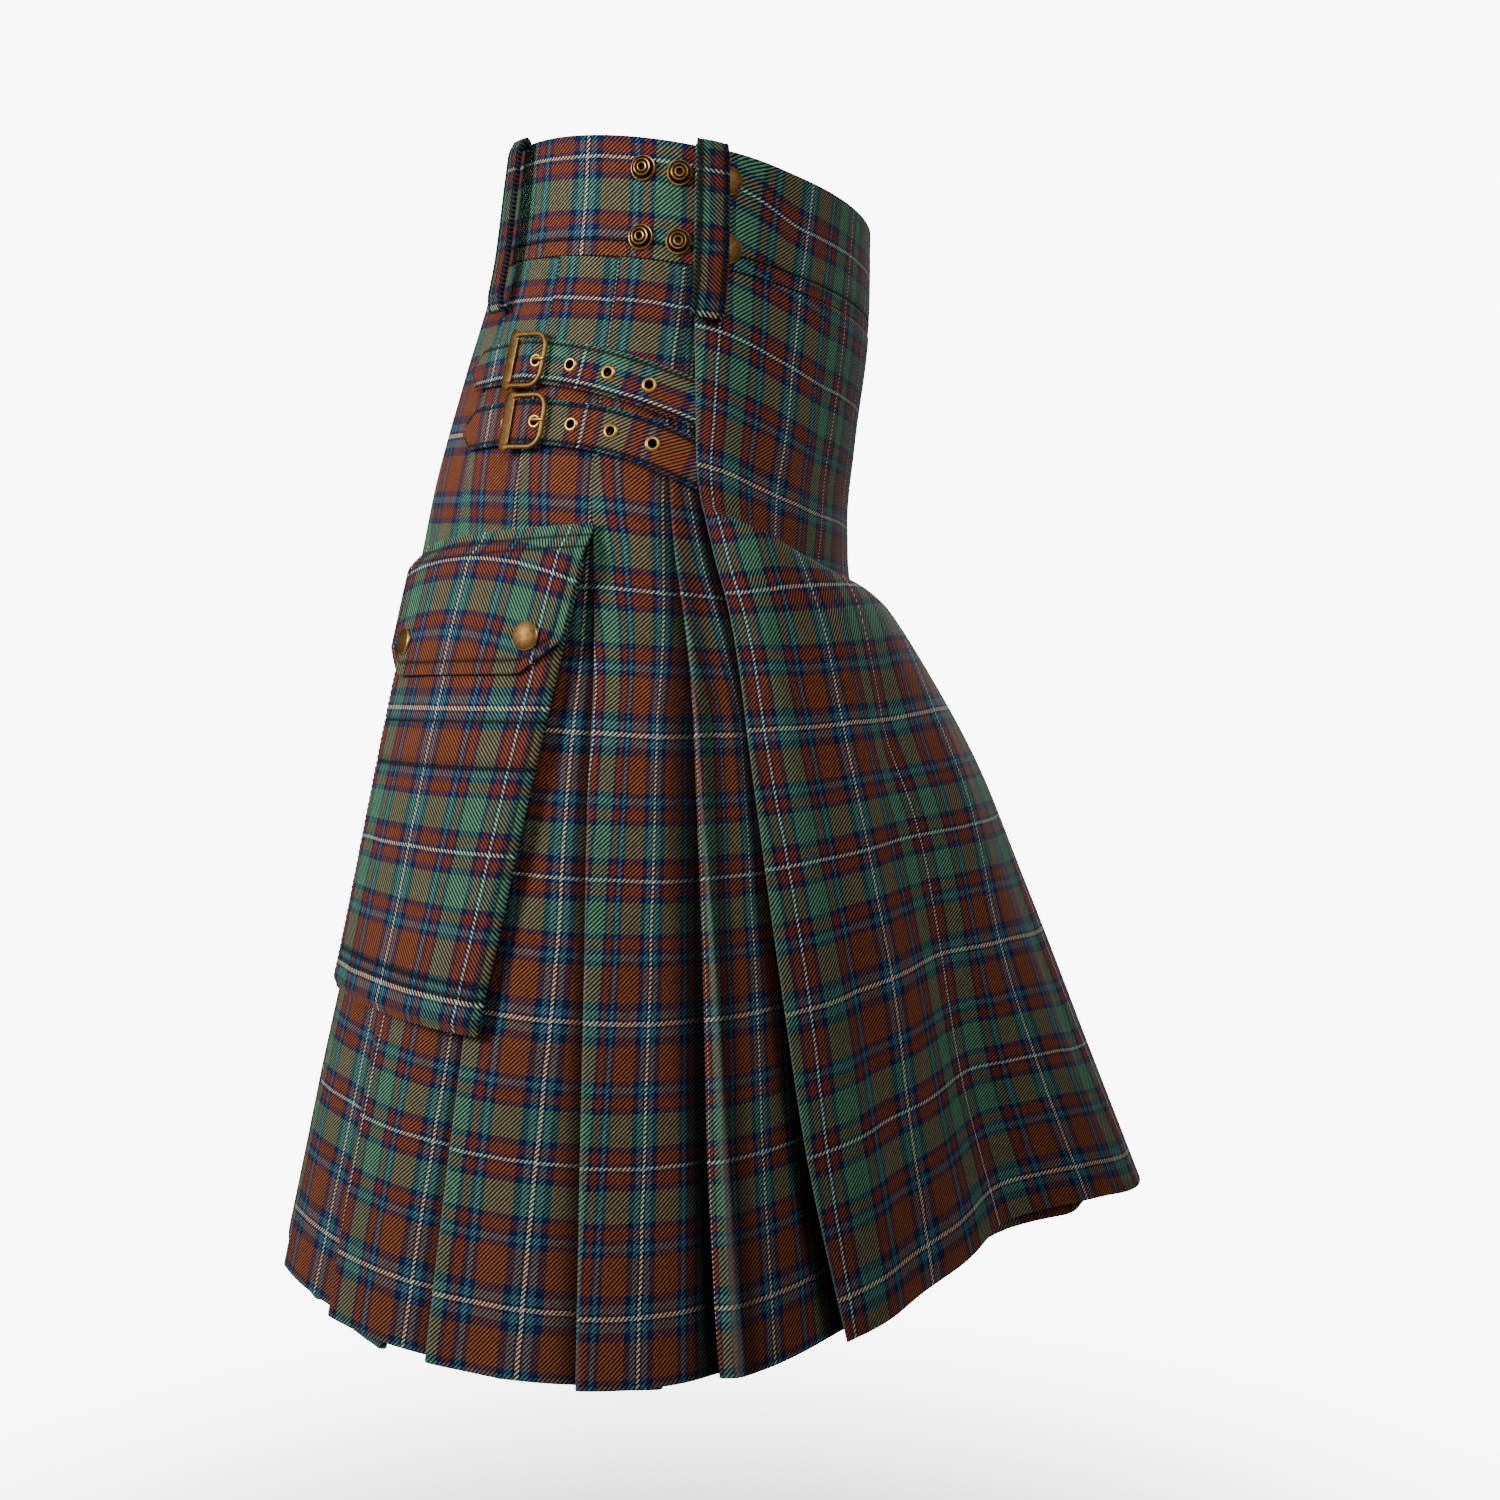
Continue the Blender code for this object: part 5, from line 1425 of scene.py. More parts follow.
def strap(name, line, node, first_row):
    """A folded strap on a grid of metres along and across, narrowing to its tip as 45 degree cuts, pinched
    along its edge sewing. Its holes are bored by one joined set of drums."""
    half_width = STRAP_WIDTH / 2
    along = np.concatenate([[0.0, 0.0005], np.linspace(0.002, STRAP_LENGTH - half_width, 84),
                            STRAP_LENGTH - half_width * np.array([0.8, 0.6, 0.4, 0.2, 0.08, 0.03])])
    seam = half_width - STRAP_SEAM
    side = fine_rows(
        -half_width, half_width, 15, special=(-seam, seam), beside=0.0009, edge=0.0004
    ) / half_width
    half = np.minimum(half_width, STRAP_LENGTH - along)[:, None]
    across, run = side[None, :] * half, along[:, None] + 0 * side[None, :]
    pinch = groove(np.abs(half_width * np.abs(side)), (seam,), 0.0012)[None, :] + 0 * run
    thick = thinned(along.size, side.size, STRAP_CLOTH) - 0.0005 * pinch
    rise = line.rise(run)
    outer, inner = line.at(run, across, rise + thick / 2), line.at(run, across, rise - thick / 2)
    sett = np.stack([run / STRAP_SETT, first_row + across / SETT_DOWN], axis=-1)
    cloth = finishes()
    piece = cloth_wall(name, outer, inner, sett, cloth["kilt_tartan"], pinch)
    drum = [(0.0, -0.004, 0), (EYELET_HOLE, -0.004, 0), (EYELET_HOLE, 0.004, 0), (0.0, 0.004, 0)]
    cutter = turned(
        f"{name}_drums", drum, [line.seat(place) for place in EYELET_PLACES], 20, cloth["kilt_tartan"]
    )
    cut = piece.modifiers.new("holes", "BOOLEAN")
    cut.operation, cut.object, cut.solver = "DIFFERENCE", cutter, "EXACT"
    with bpy.context.temp_override(object=piece, active_object=piece):
        bpy.ops.object.modifier_apply(modifier=cut.name)
    bpy.data.objects.remove(cutter, do_unlink=True)
    end = STRAP_LENGTH - half_width
    path_along = np.concatenate(
        [np.linspace(0.004, end, 120), [STRAP_LENGTH - 0.0036], np.linspace(end, 0.004, 120)]
    )
    path_across = np.concatenate([np.full(120, seam), [0.0], np.full(120, -seam)])
    face = line.rise(path_along) + STRAP_CLOTH / 2 - 0.00025
    points = line.at(path_along, path_across, face)
    out = line.at(path_along, path_across, face + 0.002) - points
    sewing = stitches(f"{name}_stitching", points, out, cloth["seam_thread"], length=0.0022, gap=0.0008)
    sewn_sheet(piece, node, outer, sewing)


def eyelets(name, line, nodes):
    """Rolled rings: a sleeve through the hole whose lip turns over and down on to the strap."""
    low = STRAP_CLOTH / 2
    profile = [
        (0.00195, -0.0007, 0.0), (0.00195, low + 0.0002, 0.0), (0.00210, low + 0.0006, 0.1),
        (0.00245, low + 0.00095, 0.4), (0.00300, low + 0.00108, 1.0), (0.00355, low + 0.00092, 1.0),
        (0.00400, low + 0.00055, 0.9), (0.00425, low + 0.00012, 0.6), (0.00410, low - 0.00005, 0.2),
        (0.00260, low - 0.00005, 0.1), (0.00222, low - 0.0002, 0.1), (0.00222, -0.0007, 0.1),
    ]
    seats = [line.seat(place) for place in EYELET_PLACES]
    on_root(turned(name, profile, seats, 36, finishes()["antique_brass"]), *nodes, slot="brass")


def buckle(name, line, node):
    """A D-shaped frame: a smooth curve through its corner points, round where it is wire and a flat rimmed
    plate at its tip end, with a lower bar slung between its two sides."""
    place = line.frame(BUCKLE_AT, BUCKLE_RISE)
    half = BUCKLE_WIDTH / 2 - BUCKLE_WIRE
    plate_start, plate_end = BUCKLE_PLATE
    plate_middle, plate_half = (plate_start + plate_end) / 2, (plate_end - plate_start) / 2
    corner, thin = 0.0080, (BUCKLE_WIRE, BUCKLE_WIRE)
    outline = [
        (plate_middle, 0.0055, 0.0, plate_half, 0.00092),
        (plate_middle, half - 0.0034, 0.0, plate_half, 0.00095)
    ]
    outline.append((plate_middle - 0.0006, half - 0.0002, 0.0, plate_half * 0.85, 0.00105))
    outline.append((plate_start - 0.0020, half, 0.0, *thin))
    outline.append((-0.0030, half, 0.0, *thin))
    for a in (math.radians(step) for step in (0, 30, 60, 90)):
        outline.append(
            (BUCKLE_FRONT + corner * (1 - math.sin(a)), half - corner * (1 - math.cos(a)), 0.0, *thin)
        )
    outline += [(x, -y, z, wide, high) for x, y, z, wide, high in outline[::-1]]
    outline = np.array(outline)
    path = through_rows(np.concatenate([outline[-2:], outline, outline[:2]]), 5)[10:-11]
    path[:, 3:] = np.maximum(path[:, 3:], (BUCKLE_WIRE * 0.98, 0.00088))

    def rubbed(path, cosine):
        plate = smooth_step(0.0018, 0.0030, path[:, 3])[:, None]
        rim = smooth_step(0.80, 0.92, np.abs(cosine))[None, :]
        return 0.52 - plate * (0.18 - rim * 0.45)

    finish = finishes()["antique_brass"]
    ring = wire(name, path, place, 24, finish, closed=True, bright=rubbed, square=2.4)
    low, thick = (BAR[0] + BAR[1]) / 2 - BUCKLE_RISE, (BAR[1] - BAR[0]) / 2
    sling = [
        (0.0, -half, -0.0004), (0.0, -half + 0.0001, low * 0.72), (0.0, -half + 0.0014, low),
        (0.0, -half / 2, low)
    ]
    sling += [(0.0, 0.0, low)] + [(x, -y, z) for x, y, z in sling[::-1]]
    sling = through_rows([(*point, thick * 1.4, thick) for point in sling], 4)
    bar = wire(
        f"{name}_bar", sling, place, 12, finish, closed=False, flat_side=(1.0, 0.0, 0.0),
        bright=lambda p, c: 0.4 + 0 * p[:, :1] * c
    )
    on_root(joined(name, [ring, bar]), node, slot="brass")


def prong(name, line, node):
    """The tongue: a smooth curve from beside the bar, up through its eyelet and down on the frame."""
    hole, top = -EYELET_TO_BAR, BUCKLE_RISE + BUCKLE_WIRE + PRONG_WIRE + SEAM_GAP
    points = [
        (-0.0019, 0.0, 0.00150), (hole + 0.0020, 0.0, 0.00140), (hole + 0.0004, 0.0, 0.00220),
        (hole - 0.0001, 0.0, 0.00420), (hole - 0.0006, 0.0, top - 0.0010), (hole - 0.0016, 0.0, top),
        (BUCKLE_FRONT, 0.0, top), (BUCKLE_FRONT - 0.0022, 0.0, top - 0.0005),
    ]
    wide = np.array([1.6, 1.6, 1.6, 1.6, 1.7, 1.9, 1.7, 1.1])
    path = np.array([(*point, PRONG_WIRE * w, PRONG_WIRE) for point, w in zip(points, wide)])
    path = through_rows(path, 4)
    piece = wire(name, path, line.frame(BUCKLE_AT, 0.0), 14, finishes()["antique_brass"], closed=False,
                 flat_side=(0.0, 1.0, 0.0), bright=lambda p, c: 0.9 + 0 * p[:, :1] * c)
    on_root(piece, node, slot="brass")


class KILT_OT_straps(bpy.types.Operator):
    """Two buckled straps on each hip, with their eyelets, buckles and prongs"""

    bl_idname = "kilt.straps"
    bl_label = "Hip straps"

    def execute(self, context):
        for side, label in SIDES:
            for level, table in STRAPS.items():
                line, stem = StrapLine(side, table), f"{label}_{level}"
                strap(f"strap_woven_{stem}", line, f"strap_{stem}", STRAP_ROWS[level])
                eyelets(
                    f"eyelets_rolled_{stem}", line,
                    [f"eyelet_{stem}_{number + 1}" for number in range(EYELETS)]
                )
                buckle(f"buckle_cast_{stem}", line, f"buckle_{stem}")
                prong(f"prong_cast_{stem}", line, f"prong_{stem}")
        return {"FINISHED"}


# ---------------------------------------------------------------- pockets
class PocketPlane:
    """A hanging pocket's own coordinates: across it, down it and out of it."""

    def __init__(self, side):
        self.side = side

    def at(self, across, down, out):
        """across from its middle line towards the front, down from its top edge, out from the pleats."""
        across, down, out = np.broadcast_arrays(*(np.asarray(v, float) for v in (across, down, out)))
        part = down / POCKET_LENGTH
        behind = POCKET_WIDTH / 2 - across
        share = POCKET_SHARE + POCKET_TILT * (1.0 - part) * behind / POCKET_WIDTH + part * POCKET_SPAN
        front = curve_through(POCKET_PARTS, POCKET_FRONT_EDGE, part)
        angle = front - behind / metres_per_degree(front - 25.0, share)
        hang = curve_through(POCKET_PARTS, POCKET_HANG, part)
        return on_surface(angle if self.side > 0 else 360.0 - angle, share, hang + out)

    def frame(self, across, down, out):
        here = self.at(across, down, out)
        ahead = self.at(across + 0.004, down, out) - self.at(across - 0.004, down, out)
        below = self.at(across, down + 0.004, out) - self.at(across, down - 0.004, out)
        normal = Vector(np.cross(ahead, below))
        if normal.dot(Vector(self.at(across, down, out + 0.004) - here)) < 0:
            normal.negate()
        return frame_at(here, ahead, normal)

    def line(self, corners, out_at):
        """Points and their outward ways along a chain of corners (across, down), out_at metres out."""
        corners = np.array(corners, float)
        part = np.linspace(0.0, len(corners) - 1.0, 90 * (len(corners) - 1) + 1)
        across, down = (np.interp(part, np.arange(len(corners)), corners[:, i]) for i in (0, 1))
        out = out_at(across, down)
        points = self.at(across, down, out)
        return points, self.at(across, down, out + 0.002) - points


BAG_CREAM_COLUMN = 0.0575     # where on the bag the cream lines cross, across it
BAG_CREAM_ROW = 0.022         # and down it
BAG_SETT_DOWN = 0.076
BAG_SIDE_SEAM = 0.004         # the sewn line this far in from each side edge
BAG_FOOT = POCKET_LENGTH - 0.0065     # the inside ends here
BAG_THIN = 0.00025            # half of the room left inside where the skins meet
BAG_LINES = (0.105, 0.130, POCKET_LENGTH - 0.025, POCKET_LENGTH - 0.019)


def bag_front(across, down):
    """How far the bag's outer skin stands out: its depth, times a rounded fall to both side edges, times a
    small swell down its length, less at its foot."""
    edge = np.interp(
        np.abs(across) / (POCKET_WIDTH / 2), (0.0, 0.60, 0.86, 0.93, 0.975, 1.0),
        (1.0, 1.0, 0.985, 0.93, 0.78, 0.5)
    )
    puff = 1.0 + 0.10 * np.sin((down - POCKET_TOP) / (POCKET_LENGTH - POCKET_TOP) * np.pi)
    foot = 1.0 - 0.45 * smooth_step(POCKET_LENGTH - 0.006, POCKET_LENGTH, down)
    return POCKET_DEPTH * edge * puff * foot, edge


def pocket_bag(name, plane, node):
    """An outer skin and an inner one, both on the same grid and joined round the mouth, with low grooves at
    its sewn lines and soft bends down its front."""
    half = POCKET_WIDTH / 2
    across = fine_rows(-half, half, 34, special=(-half + BAG_SIDE_SEAM, half - BAG_SIDE_SEAM),
                       beside=0.0012, edge=0.0006)
    down = fine_rows(POCKET_TOP, POCKET_LENGTH, 44, special=BAG_LINES, edge=0.0006)
    down = np.unique(np.concatenate([down, POCKET_LENGTH - np.array([0.0015, 0.003, 0.0045, 0.006])]))
    wide, low = np.meshgrid(across, down)
    front, edge = bag_front(wide, low)
    foot = smooth_step(POCKET_LENGTH - 0.006, POCKET_LENGTH, low)
    back = POCKET_DEPTH * (0.42 - 0.42 * edge**3) * (1 - foot) + front * 0.45 * foot
    pinch = np.maximum(
        groove(low, BAG_LINES, 0.0014), 0.6 * groove(np.abs(wide), (half - BAG_SIDE_SEAM,), 0.0013)
    )
    inside = smooth_step(half, half - 0.02, np.abs(wide)) * smooth_step(0.0, 0.03, low - 0.05)
    sway = 0.0007 * np.sin(wide / 0.017 + low * 9.0) * np.sin(low / 0.045) * inside
    rows, columns = wide.shape
    inner_limit = half - 0.0035
    wide_in, low_in = np.clip(wide, -inner_limit, inner_limit), np.minimum(low, BAG_FOOT)
    middle = (front + back) / 2
    room = np.maximum((front - back) / 2 - BAG_WALL, BAG_THIN)
    room[:, [0, -1]] = BAG_THIN
    room[low >= BAG_FOOT] = BAG_THIN
    skins = [
        plane.at(wide, low, front - 0.0005 * pinch + sway), plane.at(wide, low, back),
        plane.at(wide_in, low_in, middle + room), plane.at(wide_in, low_in, middle - room),
    ]
    count = rows * columns
    grid = np.arange(count).reshape(rows, columns)
    chain = np.concatenate([grid[:, 0], grid[-1, 1:], grid[-2::-1, -1]])
    four = grid_faces(grid)
    faces = [four, four[:, ::-1] + count, four[:, ::-1] + 2 * count, four + 3 * count]
    for border, skin_pairs in ((chain, ((0, 1), (3, 2))), (grid[0], ((2, 0), (1, 3)))):
        for one, other in skin_pairs:
            near, far = border + one * count, border + other * count
            faces.append(np.stack([near[:-1], near[1:], far[1:], far[:-1]], axis=-1))
    for corner, order in ((grid[0, 0], (0, 1, 3, 2)), (grid[0, -1], (2, 3, 1, 0))):
        faces.append(np.array([[skin * count + corner for skin in order]]))
    points = np.concatenate([skin.reshape(-1, 3) for skin in skins])
    columns_at, rows_at = (wide - BAG_CREAM_COLUMN) / SETT_ACROSS, (low - BAG_CREAM_ROW) / BAG_SETT_DOWN
    sett = np.stack([1.0 + columns_at, 1.0 + rows_at], axis=-1).reshape(-1, 2)
    cloth = finishes()
    seam = np.concatenate([pinch.ravel(), np.zeros(3 * pinch.size)])
    piece = put_together(
        name, points, faces, cloth["kilt_tartan_turned"], np.tile(sett, (4, 1)), {"seam": seam}
    )
    turn_outwards(piece)

    def face(across, down):
        return bag_front(across, down)[0] - 0.0003

    threads = []
    for number, level in enumerate(BAG_LINES):
        line = plane.line([(-half + 0.003, level), (half - 0.003, level)], face)
        threads.append(stitches(f"{name}_stitch_{number}", *line, cloth["seam_thread"]))
    for number, place in enumerate((-half + BAG_SIDE_SEAM, half - BAG_SIDE_SEAM)):
        line = plane.line([(place, POCKET_TOP + 0.002), (place, POCKET_LENGTH - 0.004)], face)
        threads.append(stitches(f"{name}_side_{number}", *line, cloth["seam_thread"]))
    sewing = joined(f"{name}_stitching", threads)
    on_root(piece, node)
    on_root(sewing)


FLAP_HALF = POCKET_WIDTH / 2 + 0.0015       # half its width, a little more than the bag's
FLAP_SEAM = 0.006                           # the sewn line this far in from its edge
FLAP_LINES = (0.0065, 0.0135)
# The flap's rows are bowed: metres down, plus this times the way across, and squared.
FLAP_BOW = (-0.006, 0.080, 2.0)


def flap_bottom(across):
    """The flap's length at each place across it, shorter over its cut-off corners."""
    cut_off = np.clip((np.abs(across) - (FLAP_HALF - FLAP_CUT)) / FLAP_CUT, 0.0, 1.0)
    return FLAP_LENGTH - 0.8 * FLAP_CUT * cut_off


def flap_base(down):
    return 0.0006 + (FLAP_RISE - 0.0006) * smooth_step(0.002, 0.018, down)


def pocket_flap(name, plane, node):
    """A double flap: its rows run straight at the top and crowd up to follow the cut-off corners below."""
    half = FLAP_HALF
    seam = half - FLAP_SEAM
    across = fine_rows(-half, half, 36, special=(-seam, seam), edge=0.0005)
    across = np.unique(np.concatenate([across, [FLAP_CUT - half, half - FLAP_CUT]]))
    rows = fine_rows(0.0, FLAP_LENGTH, 26, special=(*FLAP_LINES, FLAP_LENGTH - FLAP_SEAM), edge=0.0005)
    wide, plain = np.meshgrid(across, rows)
    bottom = flap_bottom(wide)
    low = np.where(plain > 0.035, 0.035 + (plain - 0.035) * (bottom - 0.035) / (FLAP_LENGTH - 0.035), plain)
    beside = np.where(low > 0.016, np.minimum(half - np.abs(wide), (bottom - low) * 0.78), 1.0)
    pinch = np.maximum(groove(low, FLAP_LINES), groove(beside, (FLAP_SEAM,)))
    thick = thinned(*wide.shape, FLAP_CLOTH) - 0.0006 * pinch
    bend = 0.0004 * np.sin(wide / 0.012) * smooth_step(0.03, FLAP_LENGTH, low)
    base = flap_base(low) + FLAP_CLOTH / 2 + bend + 0.0003
    outer, inner = (plane.at(wide, low, base + sign * thick / 2) for sign in (1, -1))
    bow = FLAP_BOW[0] + FLAP_BOW[1] * wide + FLAP_BOW[2] * wide**2
    columns_at, rows_at = (wide - BAG_CREAM_COLUMN) / SETT_ACROSS, (low - BAG_CREAM_ROW - bow) / BAG_SETT_DOWN
    sett = np.stack([1.0 + columns_at, 1.0 + rows_at], axis=-1)
    cloth = finishes()
    piece = cloth_wall(name, outer, inner, sett, cloth["kilt_tartan_turned"], pinch)

    def face(across, down):
        ripple = 0.0004 * np.sin(across / 0.012) * smooth_step(0.03, FLAP_LENGTH, down)
        return flap_base(down) + FLAP_CLOTH + ripple

    chain = [
        (-seam, 0.0165), (-seam, FLAP_LENGTH - 0.8 * FLAP_CUT - 0.4 * FLAP_SEAM),
        (FLAP_CUT - half + 0.45 * FLAP_SEAM, FLAP_LENGTH - FLAP_SEAM)
    ]
    chain += [(-x, y) for x, y in chain[::-1]]
    lines = [plane.line(chain, face)] + [
        plane.line([(-half + 0.002, level), (half - 0.002, level)], face) for level in FLAP_LINES
    ]
    threads = [
        stitches(f"{name}_stitch_{number}", *line, cloth["seam_thread"])
        for number, line in enumerate(lines)
    ]
    sewn_sheet(piece, node, outer, joined(f"{name}_stitching", threads))


def snap_caps(name, frames, nodes):
    """Domed press-stud caps: a flat seat, a rolled rim and a low dome, turned about their own axis."""
    radius = CAP_RADIUS
    profile = [
        (0.0, 0.0, 0.1), (radius * 0.90, 0.0, 0.1), (radius * 0.97, 0.0002, 0.4), (radius, 0.0007, 0.9),
        (radius * 0.975, 0.0012, 1.0), (radius * 0.92, 0.00158, 0.7), (radius * 0.88, 0.00166, 0.34),
        (radius * 0.80, 0.00184, 0.36), (radius * 0.66, 0.00210, 0.38), (radius * 0.5, 0.00234, 0.40),
        (radius * 0.25, 0.00258, 0.41), (0.0, 0.00266, 0.41),
    ]
    on_root(turned(name, profile, frames, 56, finishes()["antique_brass"]), *nodes, slot="brass")


class KILT_OT_pockets(bpy.types.Operator):
    """A hanging pocket on each hip, with its flap and the two caps of its press studs"""

    bl_idname = "kilt.pockets"
    bl_label = "Pockets"

    def execute(self, context):
        for side, label in SIDES:
            plane = PocketPlane(side)
            pocket_bag(f"pocket_woven_{label}", plane, f"pocket_{label}")
            pocket_flap(f"flap_woven_{label}", plane, f"flap_{label}")
            for edge, across in (("front", FLAP_CAP_ACROSS), ("back", -FLAP_CAP_ACROSS)):
                place = plane.frame(across, FLAP_CAP_DOWN, FLAP_RISE + FLAP_CLOTH + SEAM_GAP)
                snap_caps(f"cap_domed_{label}_{edge}", [place], [f"flap_cap_{label}_{edge}"])
        return {"FINISHED"}


# ---------------------------------------------------------------- press studs on the waistband
def ring_studs(name, frames, nodes):
    """The open halves of press studs: a rimmed dish with a hollow post, turned about its own axis."""
    profile = [
        (0.0, 0.0, 0.1), (0.0060, 0.0, 0.2), (0.0066, 0.0003, 0.9), (0.0069, 0.0008, 1.3),
        (0.0068, 0.0013, 1.3), (0.0065, 0.0016, 1.3), (0.0062, 0.0015, 1.2), (0.0060, 0.0006, -0.5),
        (0.0048, 0.0005, -0.6), (0.0047, 0.0030, -0.4), (0.00465, 0.0034, 1.1), (0.0043, 0.0037, 1.3),
        (0.0040, 0.0036, 1.1), (0.0039, 0.0026, -0.5), (0.0028, 0.0025, -0.6), (0.0027, 0.0034, 0.9),
        (0.0024, 0.0037, 1.2), (0.0020, 0.0036, 1.1), (0.0019, 0.0018, -0.5), (0.0, 0.0016, -0.6),
    ]
    on_root(turned(name, profile, frames, 48, finishes()["antique_brass"]), *nodes, slot="brass")


def square_on(angle, share, rise):
    """A placing matrix set square on the surface there."""
    ahead = bare_surface(angle + 1.0, share) - bare_surface(angle - 1.0, share)
    return frame_at(on_surface(angle, share, rise), ahead, outward(angle, share))


class KILT_OT_studs(bpy.types.Operator):
    """Four open studs on the back band at the right hip, and a pair of caps on the over band at each hip"""

    bl_idname = "kilt.studs"
    bl_label = "Band studs"

    def execute(self, context):
        for row, share in STUD_ROWS.items():
            for column, angle in STUD_COLUMNS.items():
                ring_studs(
                    f"stud_turned_{row}_{column}", [square_on(angle, share, SEAM_GAP)],
                    [f"stud_{row}_{column}"]
                )
            for side, label in SIDES:
                rise = float(over_band_rise(np.array(BAND_CAP), share)) + BAND_CLOTH / 2 + 0.0004
                snap_caps(
                    f"cap_domed_band_{label}_{row}", [square_on(mirrored(side, BAND_CAP), share, rise)],
                    [f"band_cap_{label}_{row}"]
                )
        return {"FINISHED"}


# ---------------------------------------------------------------- floor, light and camera
WAIST_HEIGHT = 1.05       # of a standing wearer, from the floor
FLOOR_RADII = (0.25, 0.8, 1.4, 2.0)
FLOOR_FADE = (0.25, 1.2)  # the floor is whole out to the first distance and gone beyond the second
FLOOR_SIDES = 64
FLOOR_TONE = (0.92, 0.92, 0.92)
WORLD_GLOW = 0.05         # strength of the light from all round
BACKDROP = 9.0            # and of the white that only the camera sees
LAMP_TINT = (0.95, 0.985, 1.0)
SENSOR_WIDTH, FOCAL_LENGTH = 36.0, 43.2     # millimetres
CAMERA_PLACE = (-1.13, -0.036, -0.222)
CAMERA_TILT = 4.1         # degrees down from level, looking along +X
# Each lamp's name, place, aim, diameter, watts and spread in degrees.
LIGHTS = (
    ("key", (-0.85, 1.40, 0.32), (0.0, 0.0, -0.36), 0.6, 25.5, 180.0),
    ("front", (-1.70, -0.10, 0.80), (-0.10, 0.02, 0.02), 0.7, 0.55, 26.0),
    ("fill", (-1.60, -1.40, 0.70), (-0.12, -0.24, -0.38), 0.8, 0.85, 42.0),
    ("rim", (1.50, -0.40, 1.20), (0.0, 0.0, -0.28), 1.4, 44.0, 180.0),
)


class KILT_OT_stage(bpy.types.Operator):
    """A plain pale floor, soft studio light and the camera"""

    bl_idname = "kilt.stage"
    bl_label = "Stage"

    def execute(self, context):
        bench = Bench("pale_floor")
        grain = bench.spots(6.0, 3.0)
        floor_colour = bench.scaled(FLOOR_TONE, 0.985 + grain * 0.03)
        bench.finish(floor_colour, 0.85 + grain * 0.05)
        away = bench.add("ShaderNodeTexCoord", output=3)
        away = bench.add("ShaderNodeVectorMath", {"operation": "MULTIPLY"}, {0: away, 1: (1.0, 1.0, 0.0)})
        away = bench.add("ShaderNodeVectorMath", {"operation": "LENGTH"}, {0: away}, output=1)
        clear = bench.add("ShaderNodeBsdfTransparent")
        whole = bench.add(
            "ShaderNodeMixShader", None,
            {0: away.between(*FLOOR_FADE), 1: Amount(bench, bench.shader.outputs[0]), 2: clear}
        )
        bench.fill(bench.tree.nodes["Material Output"], {0: whole})
        part = np.linspace(0.0, 2 * np.pi, FLOOR_SIDES, endpoint=False)
        radii = np.array(FLOOR_RADII)[:, None]
        points = np.stack(
            [radii * np.cos(part), radii * np.sin(part), 0 * radii * part - WAIST_HEIGHT], axis=-1
        )
        number = np.arange(radii.size * FLOOR_SIDES).reshape(radii.size, FLOOR_SIDES)
        number = np.concatenate([number, number[:, :1]], axis=1)
        faces = [grid_faces(number)[:, ::-1], number[:1, :-1]]
        put_together("floor", points.reshape(-1, 3), faces, bench.material)

        world = bpy.data.worlds.new("studio")
        context.scene.world = world
        world.use_nodes = True
        nodes, links = world.node_tree.nodes, world.node_tree.links
        around = nodes["Background"]
        around.inputs["Color"].default_value = (1.0, 1.0, 1.0, 1.0)
        around.inputs["Strength"].default_value = WORLD_GLOW
        behind = nodes.new("ShaderNodeBackground")
        behind.inputs["Color"].default_value = (1.0, 1.0, 1.0, 1.0)
        behind.inputs["Strength"].default_value = BACKDROP
        either, path = nodes.new("ShaderNodeMixShader"), nodes.new("ShaderNodeLightPath")
        links.new(path.outputs["Is Camera Ray"], either.inputs[0])
        links.new(around.outputs[0], either.inputs[1])
        links.new(behind.outputs[0], either.inputs[2])
        links.new(either.outputs[0], nodes["World Output"].inputs[0])

        for name, place, towards, size, power, spread in LIGHTS:
            lamp = bpy.data.lights.new(name, "AREA")
            lamp.shape, lamp.size, lamp.energy, lamp.spread = "DISK", size, power, math.radians(spread)
            lamp.color = LAMP_TINT
            thing = bpy.data.objects.new(name, lamp)
            thing.location = place
            way = Vector(towards) - Vector(place)
            thing.rotation_euler = way.to_track_quat("-Z", "Y").to_euler()
            context.scene.collection.objects.link(thing)

        lens = bpy.data.cameras.new("camera")
        lens.sensor_width, lens.lens, lens.clip_end = SENSOR_WIDTH, FOCAL_LENGTH, 60.0
        camera = bpy.data.objects.new("camera", lens)
        camera.location = CAMERA_PLACE
        tilt = math.radians(CAMERA_TILT)
        ahead, right = Vector((math.cos(tilt), 0.0, -math.sin(tilt))), Vector((0.0, -1.0, 0.0))
        up = right.cross(ahead)
        camera.rotation_euler = Matrix((right, up, -ahead)).transposed().to_euler()
        context.scene.collection.objects.link(camera)
        context.scene.camera = camera
        return {"FINISHED"}


# ---------------------------------------------------------------- settings, panel and running it
def colour_setting(name, description, red, green, blue):
    return bpy.props.FloatVectorProperty(
        name=name, description=description, subtype="COLOR", size=3, min=0.0, max=1.0,
        default=linear(red, green, blue)
    )


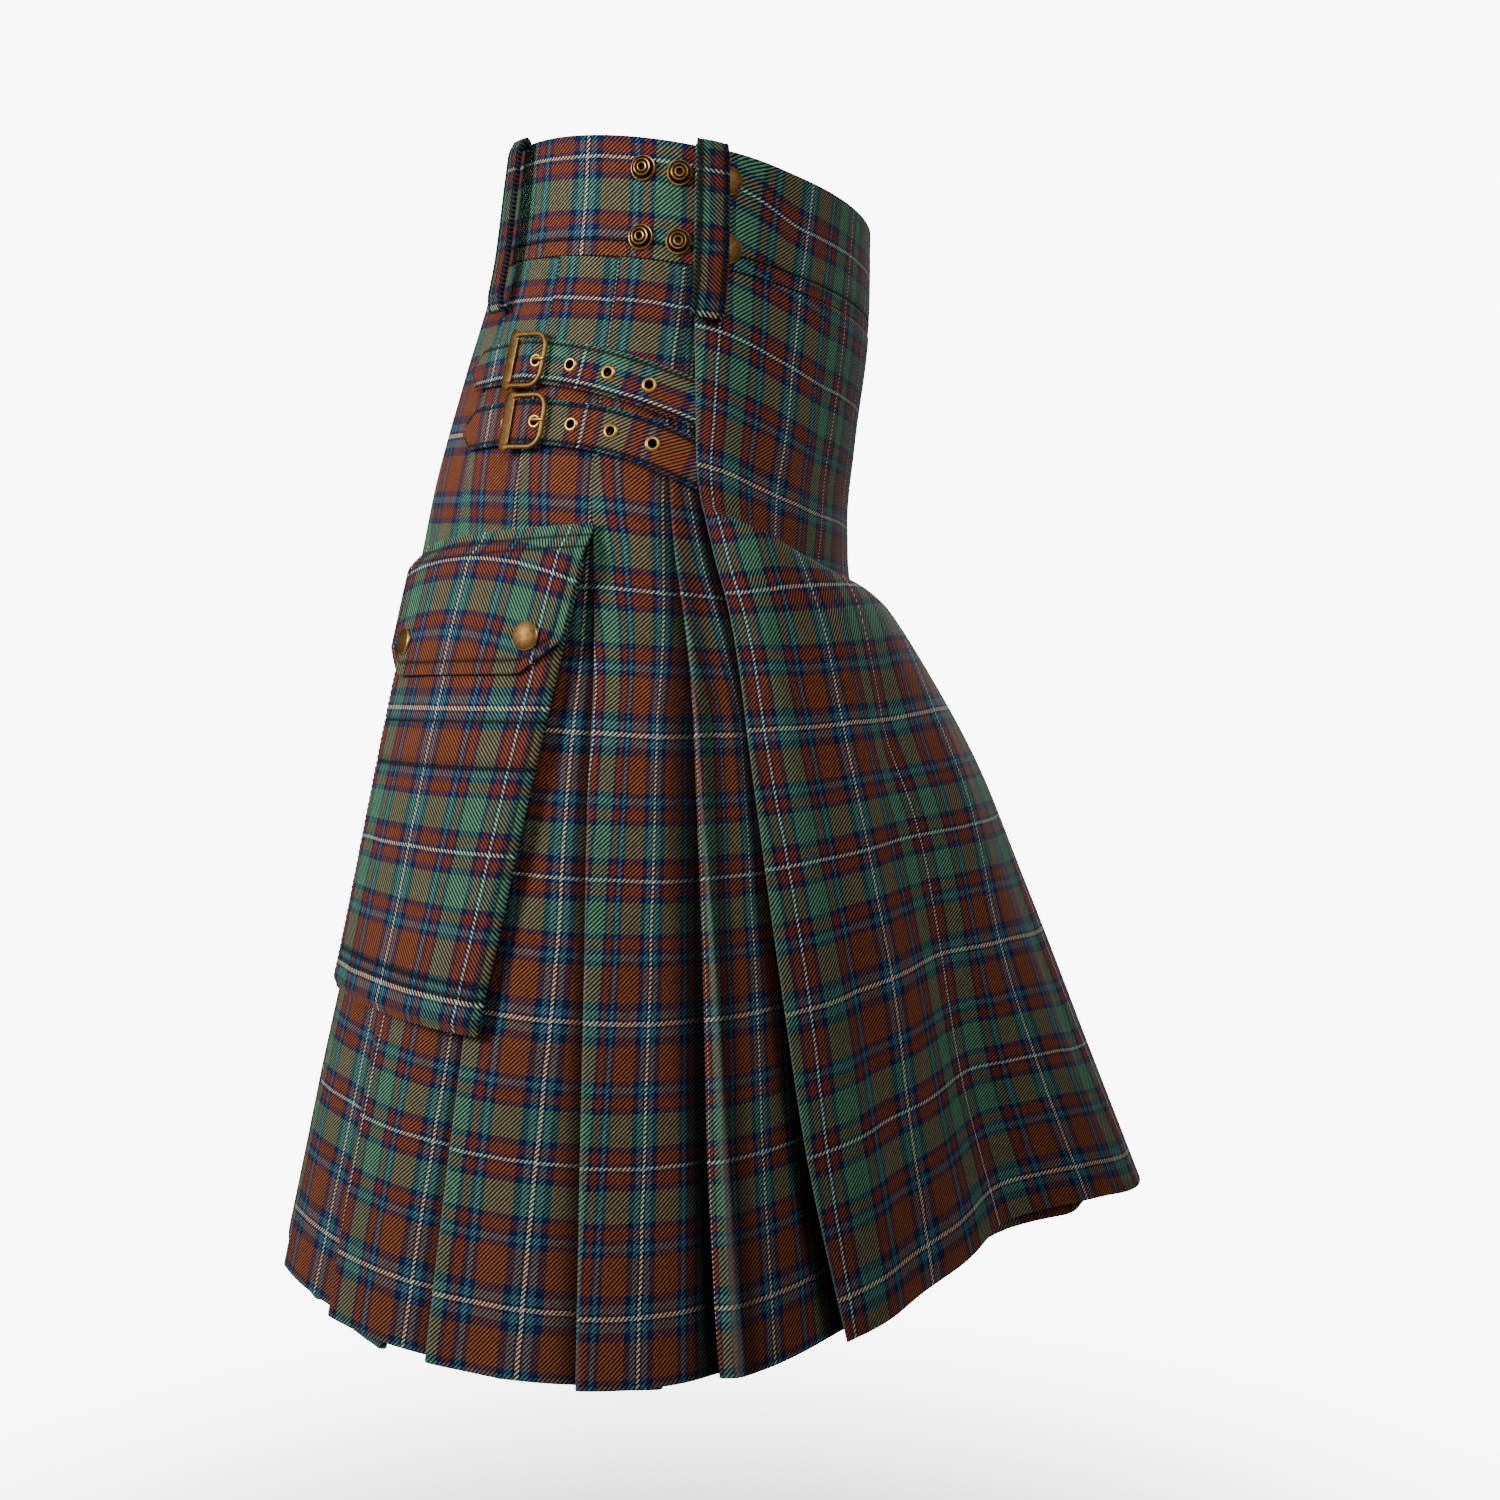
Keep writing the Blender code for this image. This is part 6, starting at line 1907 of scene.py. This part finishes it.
class KiltYarn(bpy.types.PropertyGroup):
    """The yarns of the tartan and the thread of the seams"""

    rust: colour_setting("Rust", "Yarn of the broad rust stripe", 148, 80, 48)
    brick: colour_setting("Brick", "Yarn of the narrow red stripes", 138, 64, 50)
    green: colour_setting("Green", "Yarn of the broad green stripe", 95, 147, 116)
    teal: colour_setting("Teal", "Yarn of the narrow teal stripes", 74, 122, 138)
    navy: colour_setting("Navy", "Yarn of the dark lines", 25, 39, 88)
    cream: colour_setting("Cream", "Yarn of the fine pale lines", 240, 232, 204)
    thread: colour_setting("Thread", "Sewing thread", 9, 10, 15)
    # the pale colour of fold edges: wear with a painted highlight
    worn: colour_setting("Worn folds", "The cloth where the edge of a fold is worn", 120, 128, 118)
    rib_width: bpy.props.FloatProperty(
        name="Rib width", description="From one slanting rib of the twill to the next, across the cloth",
        default=0.0024, min=0.0005, max=0.01, subtype="DISTANCE", unit="LENGTH",
    )


class KiltMetal(bpy.types.PropertyGroup):
    """The aged brass of the buckles, eyelets and studs"""

    rubbed: colour_setting("Rubbed brass", "Brass where it is rubbed bright", 222, 164, 84)
    hollows: colour_setting("Brown hollows", "Brass where it has aged brown", 46, 29, 18)


class KILT_PT_panel(bpy.types.Panel):
    bl_label = "Utility kilt"
    bl_space_type = "VIEW_3D"
    bl_region_type = "UI"
    bl_category = "Kilt"

    def draw(self, context):
        for group in (context.scene.kilt_yarn, context.scene.kilt_metal):
            for key in group.bl_rna.properties.keys():
                if key not in ("rna_type", "name"):
                    self.layout.prop(group, key)
        for step in STEPS:
            self.layout.operator(step.bl_idname)


STEPS = (
    KILT_OT_stage, KILT_OT_pleats, KILT_OT_aprons, KILT_OT_waistband, KILT_OT_belt_loops, KILT_OT_straps,
    KILT_OT_pockets, KILT_OT_studs,
)
CLASSES = (KiltYarn, KiltMetal, *STEPS, KILT_PT_panel)


def register():
    for cls in CLASSES:
        bpy.utils.register_class(cls)
    bpy.types.Scene.kilt_yarn = bpy.props.PointerProperty(type=KiltYarn)
    bpy.types.Scene.kilt_metal = bpy.props.PointerProperty(type=KiltMetal)


def unregister():
    del bpy.types.Scene.kilt_metal, bpy.types.Scene.kilt_yarn
    for cls in reversed(CLASSES):
        bpy.utils.unregister_class(cls)


def main():
    register()
    for step in STEPS:
        group, call = step.bl_idname.split(".")
        getattr(getattr(bpy.ops, group), call)()


if __name__ == "__main__":
    main()
